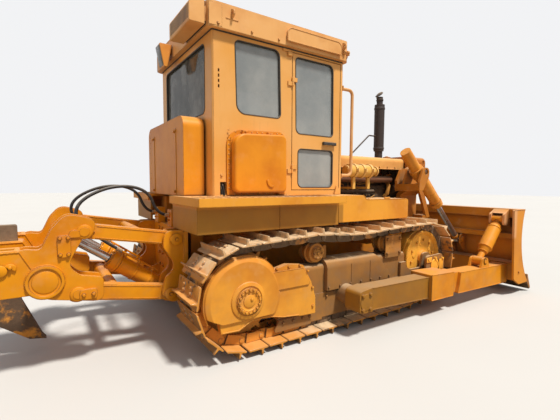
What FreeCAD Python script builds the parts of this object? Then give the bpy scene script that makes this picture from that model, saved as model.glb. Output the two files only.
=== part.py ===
import FreeCAD, Part
import math
import os
from FreeCAD import Vector

# Crawler bulldozer with a closed cab, straight blade and a parallelogram ripper with one shank fitted.
# Millimetres. +X is forward (blade end), +Y is left, +Z is up.
# The pieces are drawn about the sprocket shaft (x = 0) and ground (z = 0), right side at negative y.
# save() moves them all so that the row's origin is the middle of the machine's length and width.

# Running gear
track_gauge = 1980.0
shoe_width = 508.0
shoe_count = 38
chain_pitch = 215.9
sprocket_teeth = 25
link_drop = 52.0
link_rise = 38.0
link_width = 45.0
link_spacing = 165.0
plate_thickness = 17.0
grouser_height = 60.0
shoe_gap = 6.0
roller_radius = 110.0
roller_count = 7
first_roller_x = 500.0
roller_step = 272.0
front_ease = 120.0
idler_x = 2720.0
idler_z = 600.0
idler_tread_radius = 353.0
chain_ease = 15.0
carrier_ease = 18.0
carrier_x = (880.0, 2010.0)
carrier_radius = 100.0
carrier_z = 846.0
top_sag = 42.0
frame_width = 240.0
frame_rear_x = 470.0
frame_front_x = 2310.0
frame_low = 395.0
frame_high = 715.0

# Tractor body
case_rear_x = -330.0
case_half_width = 420.0
case_low = 420.0
case_high = 1120.0
rail_spacing = 720.0
rail_width = 120.0
deck_top = 1440.0
deck_plate = 30.0
deck_outer_y = 1222.0
deck_rear_x = -440.0
skirt_outer_y = 1100.0
skirt_low = 1125.0
deck_front_x = 1180.0
side_box_front_x = 2370.0
side_box_top = 1385.0

# Cab
cab_rear_x = -140.0
cab_front_x = 1510.0
cab_half_width = 800.0
cab_wall = 50.0
cab_top = 2975.0
door_rear_x = 770.0
door_front_x = 1450.0
door_low = 1500.0
door_high = 2940.0
door_gap = 7.0
hinge_heights = (1720.0, 2640.0)
hinge_stand = 12.0
hinge_radius = 11.0
hinge_leaf = 60.0
glass_thickness = 8.0
roof_height = 225.0
roof_half_width = 852.0
roof_rear_x = -200.0
roof_front_x = 1540.0

lift_eye_x = (40.0, 1440.0)
lift_eye_height = cab_top + 150
lift_eye_bore = 13.0

# Hood, radiator guard and engine
hood_top = 1955.0
hood_half_width = 425.0
hood_sheet = 12.0
guard_rear_x = 3150.0
guard_depth = 400.0
guard_front_x = guard_rear_x + guard_depth
guard_half_width = 520.0
guard_foot_half_width = 380.0
guard_wall = 80.0
guard_low = 620.0
guard_top = 1990.0
tow_low_z = 640.0
tow_bore_radius = 26.0
stack_x = guard_rear_x - 160
stack_y = -60.0
stack_radius = 78.0
stack_top = 2930.0
canister_radius = 84.0

# Blade, push arms and lift cylinders
arm_pivot_x = 1250.0
arm_pivot_z = 375.0
arm_inner_y = 1300.0
arm_outer_y = 1500.0
arm_front_x = 4090.0
arm_step = 40.0
blade_overhang = 180.0
blade_half_width = arm_outer_y + blade_overhang
blade_plate = 22.0
brace_y = arm_outer_y - 60
brace_foot = (3480.0, 530.0)
brace_head = (3990.0, 1075.0)
lift_top = (2980.0, 1740.0)
lift_eye = (4065.0, 700.0)
lift_y = 790.0
lift_barrel_radius = 75.0
lift_barrel_rear = 400.0
lift_barrel_front = 694.0
lift_rod_radius = 40.0
lift_rod_length = 1250.0

# Ripper
ripper_upper_pin = (-440.0, 1035.0)
ripper_lower_pin = (-500.0, 525.0)
ripper_link = (-760.0, 125.0)
ripper_tube = (-1481.0, 784.0)
ripper_tube_radius = 112.0
ripper_rod_eye = (-1310.0, 1092.0)
ripper_cylinder_y = 345.0
ripper_barrel_radius = 80.0
ripper_barrel_front = 580.0
ripper_rod_length = 620.0
pipe_stand = 30.0
holder_y = (-545.0, 0.0, 545.0)
shank_thickness = 75.0
shank_pin = (-1755.0, 905.0)
shank_pin_radius = 30.0
link_inner_y = 485.0
link_outer_y = 585.0
pin_radius = 38.0
running_gap = 0.5
side_gap = 12.0
seat_gap = 0.8

# Hose from the tractor's rear to each ripper barrel
hose_radius = 15.0
hose_route = (
    (-390.0, -250.0, 1235.0),
    (-510.0, -250.0, 1235.0),
    (-600.0, -258.0, 1555.0),
    (-930.0, -280.0, 1600.0),
    (-1250.0, -320.0, 1380.0),
    (-1215.0, -345.0, 1160.0),
    (-871.2, -345.0, 919.3),
)

# Worked-out places
sprocket_radius = chain_pitch * sprocket_teeth / 2 / (2 * math.pi)
shoe_depth = link_rise + plate_thickness + grouser_height
sprocket_z = sprocket_radius + shoe_depth
track_y = track_gauge / 2
blade_tip_x = arm_front_x + 440
blade_foot = (blade_tip_x - 100, 150.0)
shank_rear_x = -1945.0
origin_x = (blade_tip_x + shank_rear_x - 60) / 2


def place(plane, u, v, level):
    """Point at (u, v) on a plane named by its two axes, at a level along the third."""
    if plane == "xz":
        return Vector(u, level, v)
    if plane == "yz":
        return Vector(level, u, v)
    return Vector(u, v, level)


def outline(plane, corners, level):
    """Closed wire through corners (u, v, radius), each corner rounded by its radius."""
    edges = []
    ends = []
    count = len(corners)
    for i, (u, v, radius) in enumerate(corners):
        here = Vector(u, v, 0)
        before = Vector(corners[i - 1][0], corners[i - 1][1], 0)
        after = Vector(corners[(i + 1) % count][0], corners[(i + 1) % count][1], 0)
        back = (before - here).normalize()
        ahead = (after - here).normalize()
        half = back.getAngle(ahead) / 2
        if radius == 0 or half > math.pi / 2 - 0.001:
            ends.append((here, here, None))
            continue
        reach = radius / math.tan(half)
        centre = here + (back + ahead).normalize() * (radius / math.sin(half))
        middle = centre + (here - centre).normalize() * radius
        ends.append((here + back * reach, here + ahead * reach, middle))
    for i, (start, end, middle) in enumerate(ends):
        if middle is not None:
            three = [place(plane, p.x, p.y, level) for p in (start, middle, end)]
            edges.append(Part.Arc(*three).toShape())
        following = ends[(i + 1) % count][0]
        if (following - end).Length > 1e-6:
            a = place(plane, end.x, end.y, level)
            b = place(plane, following.x, following.y, level)
            edges.append(Part.LineSegment(a, b).toShape())
    return Part.Wire(edges)


def slab(plane, corners, low, high):
    """Flat piece with a rounded outline, from one level to another along the third axis."""
    face = Part.Face(outline(plane, corners, low))
    return face.extrude(place(plane, 0, 0, high - low))


def box(x, y, z):
    size = (x[1] - x[0], y[1] - y[0], z[1] - z[0])
    return Part.makeBox(size[0], size[1], size[2], Vector(x[0], y[0], z[0]))


def rod(axis, centre, radius, low, high):
    """Cylinder along an axis; centre gives the two other coordinates in x, y, z order."""
    if axis == "x":
        return Part.makeCylinder(radius, high - low, Vector(low, centre[0], centre[1]), Vector(1, 0, 0))
    if axis == "y":
        return Part.makeCylinder(radius, high - low, Vector(centre[0], low, centre[1]), Vector(0, 1, 0))
    return Part.makeCylinder(radius, high - low, Vector(centre[0], centre[1], low), Vector(0, 0, 1))


def bar(start, end, radius):
    """Cylinder from one point to another."""
    a = Vector(*start)
    b = Vector(*end)
    return Part.makeCylinder(radius, (b - a).Length, a, b - a)


def tube(points, radius, bend=None):
    """Round tube along straight runs joined by tangent arcs; with no bend given, the arcs take
    0.45 of the shorter run on each side."""
    corners = [Vector(*point) for point in points]
    edges = []
    start = corners[0]
    for before, here, after in zip(corners, corners[1:], corners[2:]):
        back = before - here
        ahead = after - here
        shorter = min(back.Length, ahead.Length)
        half = back.getAngle(ahead) / 2
        reach = 0.45 * shorter if bend is None else bend / math.tan(half)
        back.normalize()
        ahead.normalize()
        curve = reach * math.tan(half)
        centre = here + (back + ahead).normalize() * (curve / math.sin(half))
        middle = centre + (here - centre).normalize() * curve
        edges.append(Part.LineSegment(start, here + back * reach).toShape())
        edges.append(Part.Arc(here + back * reach, middle, here + ahead * reach).toShape())
        start = here + ahead * reach
    edges.append(Part.LineSegment(start, corners[-1]).toShape())
    ring = Part.Wire(Part.makeCircle(radius, corners[0], corners[1] - corners[0]))
    return Part.Wire(edges).makePipeShell([ring], True, False)


def fuse(pieces):
    joined = pieces[0]
    if len(pieces) > 1:
        joined = pieces[0].multiFuse(pieces[1:])
    return joined.removeSplitter()


def left_of(shape):
    return shape.mirror(Vector(0, 0, 0), Vector(0, 1, 0))


def both(shape):
    return Part.makeCompound([shape, left_of(shape)])


def save(name, shape):
    moved = shape.copy()
    moved.translate(Vector(-origin_x, 0, 0))
    moved.exportStep("parts/" + name + ".step")


def link_bar(start, end, depth, low, high, boss):
    """Bar between two pins in the xz plane, with a round boss at each end."""
    a = Vector(start[0], 0, start[1])
    b = Vector(end[0], 0, end[1])
    along = (b - a).normalize()
    across = Vector(-along.z, 0, along.x) * (depth / 2)
    points = [a + across, b + across, b - across, a - across]
    body = slab("xz", [(p.x, p.z, 0) for p in points], low, high)
    return fuse([body, rod("y", start, boss, low, high), rod("y", end, boss, low, high)])


# Track loop: the pins lie on the belt line round sprocket, front roller, idler and carrier rollers

def belt_line():
    """Closed belt line as (x, z) points, clockwise seen from the right, from the sprocket's foot."""
    front_roller = (first_roller_x + roller_step * (roller_count - 1) + front_ease, shoe_depth)
    idler_pitch = idler_tread_radius + link_drop + chain_ease
    carrier_top = carrier_z + carrier_radius + link_drop + carrier_ease
    rise = math.atan2(idler_z - front_roller[1], idler_x - front_roller[0])
    reach = math.hypot(idler_z - front_roller[1], idler_x - front_roller[0])
    leave = rise - math.asin(idler_pitch / reach)
    points = [(0.0, shoe_depth), front_roller]
    for i in range(33):
        angle = leave - math.pi / 2 + (math.pi - leave) * i / 32
        points.append((idler_x + idler_pitch * math.cos(angle), idler_z + idler_pitch * math.sin(angle)))
    for i in range(1, 13):
        t = i / 12
        sag = top_sag * 4 * t * (1 - t)
        points.append((carrier_x[1] + (carrier_x[0] - carrier_x[1]) * t, carrier_top - sag))
    for i in range(33):
        angle = math.pi / 2 + math.pi * i / 32
        points.append((sprocket_radius * math.cos(angle), sprocket_z + sprocket_radius * math.sin(angle)))
    return points


def chain_pins():
    """Even steps along the belt line, one per shoe."""
    line = belt_line()
    lengths = []
    for i, point in enumerate(line):
        after = line[(i + 1) % len(line)]
        lengths.append(math.hypot(after[0] - point[0], after[1] - point[1]))
    step = sum(lengths) / shoe_count
    pins = []
    place_on = 0.0
    i = 0
    passed = 0.0
    while len(pins) < shoe_count:
        while place_on > passed + lengths[i]:
            passed += lengths[i]
            i += 1
        t = (place_on - passed) / lengths[i]
        after = line[(i + 1) % len(line)]
        pins.append((line[i][0] + (after[0] - line[i][0]) * t, line[i][1] + (after[1] - line[i][1]) * t))
        place_on += step
    return pins


def loop_points(profile):
    """The profile's (share of pitch, shift, rise) points carried round every link of the loop."""
    pins = chain_pins()
    points = []
    for i, pin in enumerate(pins):
        after = pins[(i + 1) % shoe_count]
        length = math.hypot(after[0] - pin[0], after[1] - pin[1])
        along = ((after[0] - pin[0]) / length, (after[1] - pin[1]) / length)
        out = (along[1], -along[0])
        for share, shift, rise in profile:
            s = share * length + shift
            points.append((pin[0] + along[0] * s + out[0] * rise, pin[1] + along[1] * s + out[1] * rise))
    return points


def band(outer, inner, low, high):
    """Closed band between two polygons of points in the xz plane."""
    faces = []
    for points in (outer, inner):
        corners = [Vector(x, low, z) for x, z in points]
        faces.append(Part.Face(Part.makePolygon(corners + [corners[0]])))
    solids = [face.extrude(Vector(0, high - low, 0)) for face in faces]
    return solids[0].cut(solids[1])


def track(side_y):
    plate = link_rise + plate_thickness
    shoe = (
        (0.0, shoe_gap, link_rise + 4),
        (0.0, shoe_gap, plate),
        (0.62, 0.0, plate),
        (0.66, 0.0, shoe_depth),
        (0.72, 0.0, shoe_depth),
        (0.78, 0.0, plate),
        (1.0, -shoe_gap, plate),
        (1.0, -shoe_gap, link_rise + 4),
    )
    under = ((0.0, shoe_gap, link_rise), (1.0, -shoe_gap, link_rise))
    tread = ((0.0, 16.0, -link_drop), (1.0, -16.0, -link_drop))
    pieces = [band(loop_points(shoe), loop_points(under), side_y - shoe_width / 2, side_y + shoe_width / 2)]
    for side in (-1, 1):
        middle = side_y + side * link_spacing / 2
        rails = band(loop_points(under), loop_points(tread), middle - link_width / 2, middle + link_width / 2)
        pieces.append(rails)
    return fuse(pieces)


def sprocket(side_y):
    """Toothed wheel between the link rails, with its hub reaching out to the outer bearing."""
    tooth_root = sprocket_radius - 32
    tooth_tip = sprocket_radius + 12
    teeth = []
    for i in range(sprocket_teeth):
        for share, radius in ((-0.22, tooth_root), (-0.1, tooth_tip), (0.1, tooth_tip), (0.22, tooth_root)):
            angle = 2 * math.pi * (i + share) / sprocket_teeth
            teeth.append((radius * math.cos(angle), sprocket_z + radius * math.sin(angle), 0))
    wheel = slab("xz", teeth, side_y - 35, side_y + 35)
    hub = rod("y", (0, sprocket_z), 175, side_y - 115, side_y + 140)
    return fuse([wheel, hub])


def sprocket_guard(side_y):
    """Pressed outer cover: a drum over the sprocket, open below, its hub, and the plate ahead of it."""
    face_y = side_y - 212
    back_y = side_y - frame_width / 2 - 8
    drum_profile = [(392, back_y), (392, face_y + 44), (378, face_y + 20), (340, face_y), (190, face_y)]
    drum = revolve_y(drum_profile, back_y)
    drum.translate(Vector(0, 0, sprocket_z - 15))
    drum = drum.cut(slab("xz", (
        (-420, 120, 0),
        (-420, 440, 0),
        (-225, 345, 0),
        (420, 345, 0),
        (420, 120, 0),
    ), back_y - 200, back_y + 10))
    plate_outline = (
        (-258, 400, 0),
        (250, 700, 0),
        (285, 752, 20),
        (455, 792, 0),
        (645, 765, 25),
        (748, 585, 60),
        (805, 420, 40),
        (808, 245, 12),
        (600, 255, 0),
        (325, 305, 260),
        (90, 325, 90),
        (-65, 248, 12),
        (-235, 258, 12),
    )
    plate = slab("xz", plate_outline, face_y + 18, back_y)
    ridge_outline = ((120, 560, 0), (250, 700, 0), (300, 735, 0), (640, 735, 40), (735, 560, 20))
    ridge = slab("xz", ridge_outline, face_y + 6, back_y)
    hub_profile = [(172, face_y + 5), (165, face_y - 10), (132, face_y - 20), (132, face_y - 14)]
    hub_profile += [(120, face_y - 14), (120, face_y - 30), (84, face_y - 30), (78, face_y - 24)]
    hub = revolve_y(hub_profile, face_y + 5)
    hub.translate(Vector(18, 0, sprocket_z - 22))
    return fuse([drum, plate, ridge, hub])


def revolve_y(profile, base_y):
    """Solid of revolution about the Y axis through x = z = 0; profile is (radius, y), closed at the axis."""
    points = [Vector(0, base_y, 0)]
    points += [Vector(r, y, 0) for r, y in profile]
    points.append(Vector(0, profile[-1][1], 0))
    face = Part.Face(Part.makePolygon(points + [points[0]]))
    return face.revolve(Vector(0, 0, 0), Vector(0, 1, 0), 360)


def roller_frame(side_y):
    """Box frame with the recoil housing, idler fork, push-arm trunnion and diagonal brace."""
    half = frame_width / 2
    section = (
        (side_y - half, frame_low, 0),
        (side_y - half, frame_high, 45),
        (side_y + half, frame_high, 45),
        (side_y + half, frame_low, 0),
    )
    beam = slab("yz", section, frame_rear_x, frame_front_x)
    cover_section = (
        (side_y - half - 45, frame_low + 40, 0),
        (side_y - half - 45, frame_high + 45, 90),
        (side_y + half + 12, frame_high + 45, 90),
        (side_y + half + 12, frame_low + 40, 0),
    )
    cover = slab("yz", cover_section, 985, 1985)
    slope = (
        (980, frame_low + 30, 0),
        (980, frame_high + 60, 0),
        (1730, frame_high + 60, 80),
        (1985, 505, 20),
        (1985, frame_low + 30, 0),
    )
    cover = cover.common(slab("xz", slope, side_y - 400, side_y + 400))
    pieces = [beam, cover]
    fork_rear = frame_front_x - 110
    inner_fork = (
        (fork_rear, 480, 0),
        (fork_rear, 690, 0),
        (idler_x + 80, 700, 60),
        (idler_x + 140, 600, 40),
        (idler_x + 80, 510, 40),
    )
    outer_fork = (
        (fork_rear, frame_low, 0),
        (fork_rear, 600, 60),
        (fork_rear + 190, 485, 80),
        (idler_x - 110, 485, 0),
        (idler_x - 70, idler_z + 70, 50),
        (idler_x + 80, idler_z + 70, 50),
        (idler_x + 120, 430, 60),
        (idler_x - 60, frame_low, 40),
    )
    for fork, y in ((inner_fork, side_y + 125), (outer_fork, side_y - 155)):
        pieces.append(slab("xz", fork, y, y + 30))
        root_y = (min(y, side_y), max(y + 30, side_y))
        pieces.append(box((fork_rear, frame_front_x), root_y, (480, 595)))
    pieces.append(rod("y", (idler_x + 40, 540), 92, side_y - 225, side_y - 150))
    bearing = (
        (idler_x - 130, 385, 30),
        (idler_x - 130, 640, 45),
        (idler_x + 200, 655, 45),
        (idler_x + 265, 560, 40),
        (idler_x + 265, 385, 30),
    )
    pieces.append(slab("xz", bearing, side_y - 250, side_y - 222))
    pieces.append(box((1915, 2200), (side_y - 152, side_y - 140), (680, 950)))
    pieces.append(box((1915, 2200), (side_y - 152, side_y - half + 20), (680, frame_high - 10)))
    pieces.append(rod("y", (arm_pivot_x, arm_pivot_z), 105, -arm_inner_y + side_gap, side_y - half))
    pieces.append(rod("y", (arm_pivot_x, arm_pivot_z), 60, -arm_outer_y + 30, -arm_inner_y + side_gap))
    pieces.append(bar((1000, side_y + half - 20, 450), (540, -case_half_width - 40, 470), 55))
    pieces.append(rod("y", (530, 470), 75, -case_half_width - 70, -case_half_width - 0.3))
    guard_y = (side_y - half - 8, side_y - half + 12)
    pieces.append(box((955, 2290), guard_y, (150, frame_low + 20)))
    pieces.append(box((390, 955), guard_y, (128, frame_low + 20)))
    pieces.append(slab("xz", (
        (330, 120, 20),
        (395, 235, 20),
        (760, 235, 20),
        (800, 120, 20),
    ), side_y - half - 26, side_y - half - 8))
    pieces.append(box((frame_rear_x, 2290), (side_y + half - 12, side_y + half + 8), (150, frame_low + 20)))
    for x in carrier_x:
        pieces.append(box((x + 126, x + 176), (side_y - 60, side_y + 90), (frame_high - 20, carrier_z + 60)))
        pieces.append(box((x - 30, x + 176), (side_y + 60.3, side_y + 90), (frame_high - 20, carrier_z + 60)))
    return fuse(pieces)


def rollers(side_y):
    """Track rollers under the frame and the two carrier rollers above it, each with its shaft."""
    solids = []
    low_z = shoe_depth + link_drop + roller_radius + seat_gap
    for i in range(roller_count):
        x = first_roller_x + roller_step * i
        tread = rod("y", (x, low_z), roller_radius, side_y - 98, side_y + 98)
        solids.append(fuse([tread, rod("y", (x, low_z), 34, side_y - 107.7, side_y + 107.7)]))
    profile = [(68, -138), (68, -114), (carrier_radius, -110), (carrier_radius, -62), (118, -56), (118, -40)]
    profile += [(84, -36), (84, 34), (carrier_radius, 38), (carrier_radius, 60)]
    for x in carrier_x:
        roller = revolve_y(profile, -138)
        roller.translate(Vector(x, side_y, carrier_z))
        solids.append(roller)
    return Part.makeCompound(solids)


def idler(side_y):
    rim = idler_tread_radius
    hub = 124.7
    profile = [(90, -hub), (90, -92), (300, -84), (318, -106), (rim, -106), (rim, -58), (rim + 16, -56)]
    mirrored = [(r, -y) for r, y in reversed(profile)]
    wheel = revolve_y(profile + mirrored, -hub)
    wheel.translate(Vector(idler_x, side_y, idler_z))
    return wheel


def main_frame():
    case = slab("xz", (
        (case_rear_x, case_low, 60),
        (case_rear_x, case_high, 60),
        (650, case_high, 60),
        (760, 980, 40),
        (760, case_low, 60),
    ), -case_half_width, case_half_width)
    pieces = [case]
    rail_y = rail_spacing / 2
    for side in (-1, 1):
        inner = side * (rail_y - rail_width / 2)
        outer = side * (rail_y + rail_width / 2)
        pieces.append(box((600, guard_rear_x), (min(inner, outer), max(inner, outer)), (600, 860)))
        pieces.append(rod("y", (0, sprocket_z), 320, *sorted((side * (case_half_width - 10), side * 700))))
        pieces.append(rod("y", (0, sprocket_z), 172, *sorted((side * 690, side * (track_y - 140)))))
        for x in (-260, 980):
            pieces.append(box((x, x + 130), sorted((side * 300, side * 520)), (840, deck_top - deck_plate)))
        pieces.append(box((2050, 2170), sorted((side * 360, side * 720)), (780, 860)))
        pieces.append(box((2050, 2170), sorted((side * 650, side * 720)), (780, skirt_low + 20)))
    pieces.append(box((700, 1700), (-260, 260), (520, 1010)))
    pieces.append(box((guard_rear_x - 120, guard_rear_x), (-rail_y, rail_y), (600, 700)))
    return fuse(pieces)


def belly_guard():
    """Plates hung under the frame rails that close the machine from below, ahead of the case."""
    rear_x = 760.3
    under_rails = 599.7
    outer_y = rail_spacing / 2 + rail_width / 2
    sheet = slab("xz", (
        (rear_x, 420, 0),
        (rear_x, 440, 0),
        (2960, 440, 0),
        (3290, 600, 0),
        (3310, 585, 0),
        (2965, 420, 0),
    ), -outer_y, outer_y)
    pieces = [sheet]
    for side in (-1, 1):
        y = sorted((side * (outer_y - 16), side * outer_y))
        pieces.append(box((rear_x, 2000), y, (420, under_rails)))
        pieces.append(box((2220, 2960), y, (420, under_rails)))
    return fuse(pieces)


def equalizer_bar():
    """Cross bar that joins the two roller frames under the engine."""
    half = track_y - frame_width / 2
    middle = box((2050, 2170), (-300, 300), (450, 590))
    ends = [bar((2110, side * 290, 520), (2110, side * (half - 20), 470), 55) for side in (-1, 1)]
    pad_y = (half - 30, half - 8.3)
    pads = [box((2050, 2170), sorted((side * pad_y[0], side * pad_y[1])), (400, 540)) for side in (-1, 1)]
    return fuse([middle] + ends + pads)


def fender(side):
    """Deck over one track, with its edge lip, shaded skirt and the box ahead of the door."""
    inner = 430
    deck = box((deck_rear_x, deck_front_x), (-deck_outer_y, -inner), (deck_top - deck_plate, deck_top))
    lip = box((deck_rear_x, deck_front_x), (-deck_outer_y, -deck_outer_y + 14), (deck_top - 75, deck_top))
    rear_lip = box((deck_rear_x, deck_rear_x + 14), (-deck_outer_y, -inner), (deck_top - 75, deck_top))
    skirt_z = (skirt_low, deck_top - 20)
    skirt = box((deck_rear_x + 30, deck_front_x), (-skirt_outer_y, -skirt_outer_y + 24), skirt_z)
    rear = box((deck_rear_x + 30, deck_rear_x + 54), (-skirt_outer_y, -inner), skirt_z)
    front = slab("xz", (
        (deck_front_x, skirt_low + 20, 0),
        (deck_front_x, deck_top, 0),
        (1560, deck_top, 0),
        (1620, side_box_top, 0),
        (side_box_front_x, side_box_top, 30),
        (side_box_front_x, skirt_low + 20, 30),
    ), -skirt_outer_y, -640)
    whole = fuse([deck, lip, rear_lip, skirt, rear, front])
    return whole if side < 0 else left_of(whole)


def fuel_tank():
    return slab("yz", (
        (-640, deck_top, 20),
        (-640, 2205, 110),
        (640, 2205, 110),
        (640, deck_top, 20),
    ), -365, -160)


quarter_window = ((112, 2240, 95), (92, 2925, 45), (604, 2925, 70), (622, 2240, 50))
door_window = ((820, 2105, 60), (806, 2905, 45), (1340, 2905, 70), (1350, 2105, 45))
door_low_window = ((850, 1525, 60), (848, 1945, 45), (1352, 1945, 45), (1352, 1525, 60))
front_window = ((-640, 2010, 60), (-640, 2900, 60), (640, 2900, 60), (640, 2010, 60))
rear_window = ((-620, 2240, 60), (-620, 2900, 60), (620, 2900, 60), (620, 2240, 60))


def cab_shell():
    """Hollow cab body: four walls and a floor, with the windows and both door openings cut."""
    outer = slab("xy", (
        (cab_rear_x, -cab_half_width, 14),
        (cab_rear_x, cab_half_width, 14),
        (cab_front_x, cab_half_width, 40),
        (cab_front_x, -cab_half_width, 40),
    ), deck_top, cab_top)
    inside_x = (cab_rear_x + cab_wall, cab_front_x - cab_wall)
    inside_y = (-cab_half_width + cab_wall, cab_half_width - cab_wall)
    shell = outer.cut(box(inside_x, inside_y, (deck_top + cab_wall, cab_top + 10)))
    doorway = both(box(
        (door_rear_x - door_gap, door_front_x + door_gap),
        (-cab_half_width - 10, -cab_half_width + cab_wall + 10),
        (door_low - door_gap, door_high + door_gap),
    ))
    cuts = [doorway, slab("xz", quarter_window, -cab_half_width - 10, cab_half_width + 10)]
    cuts.append(slab("yz", front_window, cab_front_x - cab_wall - 10, cab_front_x + 10))
    cuts.append(slab("yz", rear_window, cab_rear_x - 10, cab_rear_x + cab_wall + 10))
    for i in range(4):
        slit = box((-82, -68), (-cab_half_width - 10, -cab_half_width + 20), (2455 + 48 * i, 2483 + 48 * i))
        cuts.append(both(slit))
    cable_hole = box((-66, -4), (-cab_half_width - 10, -cab_half_width + 35), (1455, 1575))
    cuts.append(both(cable_hole))
    for cut in cuts:
        shell = shell.cut(cut)
    hinges = []
    for z in hinge_heights:
        pin_x, pin_y = hinge_line()
        leaf = box((pin_x - hinge_leaf, pin_x), (pin_y, -cab_half_width), (z - 45, z - 0.3))
        pieces = [leaf, rod("z", (pin_x, pin_y), hinge_radius, z - 45, z - 0.3)]
        pieces.append(rod("z", (pin_x, pin_y), 6, z - 45, z + 45))
        hinges += pieces + [left_of(piece) for piece in pieces]
    return fuse([shell] + hinges)


def hinge_line():
    """Where the right door's hinge pins stand: just outside the cab's side, at the rear seam."""
    return (door_rear_x - door_gap / 2, -cab_half_width - hinge_stand)


def cab_glass():
    """Fixed panes: two quarter windows, the windscreen and the rear window."""
    middle = cab_half_width - cab_wall / 2
    side = slab("xz", quarter_window, -middle - glass_thickness / 2, -middle + glass_thickness / 2)
    front_x = cab_front_x - cab_wall / 2
    rear_x = cab_rear_x + cab_wall / 2
    front = slab("yz", front_window, front_x - glass_thickness / 2, front_x + glass_thickness / 2)
    rear = slab("yz", rear_window, rear_x - glass_thickness / 2, rear_x + glass_thickness / 2)
    return Part.makeCompound([side, left_of(side), front, rear])


def door():
    leaf_y = (-cab_half_width, -cab_half_width + cab_wall - 6)
    leaf = box((door_rear_x, door_front_x), leaf_y, (door_low, door_high))
    for window in (door_window, door_low_window):
        leaf = leaf.cut(slab("xz", window, -cab_half_width - 10, -cab_half_width + cab_wall + 10))
    handle = box((1195, 1375), (-cab_half_width - 34, -cab_half_width - 18), (2008, 2038))
    stand = [box((x, x + 24), (-cab_half_width - 34, -cab_half_width), (2008, 2038)) for x in (1195, 1351)]
    pin_x, pin_y = hinge_line()
    hinges = []
    for z in hinge_heights:
        plate = box((pin_x, pin_x + hinge_leaf), (pin_y, -cab_half_width), (z, z + 45))
        hinges += [plate, rod("z", (pin_x, pin_y), hinge_radius, z, z + 45)]
    whole = fuse([leaf, handle] + stand + hinges)
    for z in hinge_heights:
        whole = whole.cut(rod("z", (pin_x, pin_y), 6.3, z - 5, z + 50))
    return whole


def door_glass():
    middle = -cab_half_width + (cab_wall - 6) / 2
    panes = []
    for window in (door_window, door_low_window):
        panes.append(slab("xz", window, middle - glass_thickness / 2, middle + glass_thickness / 2))
    return Part.makeCompound(panes)


def side_box():
    """Rounded box on the cab's side below the quarter window, with its mounting flange."""
    body = slab("xz", (
        (40, 1475, 50),
        (40, 2035, 120),
        (628, 2060, 60),
        (636, 1475, 50),
    ), -cab_half_width - 112, -cab_half_width)
    edges = [edge for edge in body.Edges if edge.BoundBox.YMax < -cab_half_width - 111]
    body = body.makeFillet(22, edges)
    flange = slab("xz", (
        (-2, 1450, 12),
        (-2, 2075, 150),
        (668, 2100, 80),
        (672, 1450, 12),
    ), -cab_half_width - 16, -cab_half_width)
    return fuse([body, flange])


def cab_roof():
    base = slab("xy", (
        (roof_rear_x, -roof_half_width, 70),
        (roof_rear_x, roof_half_width, 70),
        (roof_front_x, roof_half_width, 70),
        (roof_front_x, -roof_half_width, 70),
    ), cab_top, cab_top + roof_height)
    inner = box((cab_rear_x + 60, cab_front_x - 60), (-740, 740), (cab_top - 5, cab_top + roof_height - 60))
    pieces = [base.cut(inner)]
    top = cab_top + roof_height
    pack_y = (-roof_half_width + 18, -270)
    pieces.append(slab("xz", (
        (roof_rear_x - 165, cab_top + 5, 12),
        (roof_rear_x - 165, top - 20, 60),
        (roof_rear_x - 22, top - 12, 0),
        (roof_rear_x - 22, cab_top + 5, 0),
    ), *pack_y))
    neck_y = (pack_y[0] + 30, pack_y[1] - 30)
    pieces.append(box((roof_rear_x - 30, roof_rear_x + 30), neck_y, (cab_top + 40, top - 50)))
    visor = slab("xz", (
        (655, cab_top + 45, 10),
        (655, cab_top + 175, 60),
        (1395, cab_top + 175, 60),
        (1395, cab_top + 45, 10),
    ), -roof_half_width - 24, -roof_half_width + 5)
    pieces += [visor, left_of(visor)]
    for x in lift_eye_x:
        lug = slab("yz", (
            (-roof_half_width + 10, lift_eye_height - 50, 0),
            (-roof_half_width + 10, lift_eye_height + 50, 0),
            (-roof_half_width - 50, lift_eye_height + 20, 20),
            (-roof_half_width - 50, lift_eye_height - 20, 20),
        ), x - 8, x + 8)
        bore = rod("x", (-roof_half_width - 26, lift_eye_height), lift_eye_bore, x - 20, x + 20)
        lug = lug.cut(bore)
        pieces += [lug, left_of(lug)]
    return fuse(pieces)


def hood():
    top = hood_top
    outer = (
        (-hood_half_width, 1790, 0),
        (-hood_half_width, top, 60),
        (hood_half_width, top, 60),
        (hood_half_width, 1790, 0),
    )
    inner_half = hood_half_width - hood_sheet
    inner = (
        (-inner_half, 1780, 0),
        (-inner_half, top - hood_sheet, 48),
        (inner_half, top - hood_sheet, 48),
        (inner_half, 1780, 0),
    )
    sheet = slab("yz", outer, cab_front_x, guard_rear_x)
    sheet = sheet.cut(slab("yz", inner, cab_front_x - 5, guard_rear_x + 5))
    return sheet.cut(rod("z", (stack_x, stack_y), stack_radius + 12, 1700, 2100))


def mirrored_corners(corners):
    """The same outline corners on the other side of the middle, in reversed order."""
    return tuple((-u, v, radius) for u, v, radius in reversed(corners))


def radiator_opening():
    """Outline of the guard's opening, which its core also fills: narrow below, wide above."""
    low = guard_low + 120
    shoulder = guard_low + 800
    half = guard_half_width - guard_wall
    foot = guard_foot_half_width - guard_wall
    corners = ((-foot, low, 0), (-foot, shoulder, 0), (-half, shoulder + 110, 0), (-half, guard_top - 90, 0))
    return corners + mirrored_corners(corners)


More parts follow.
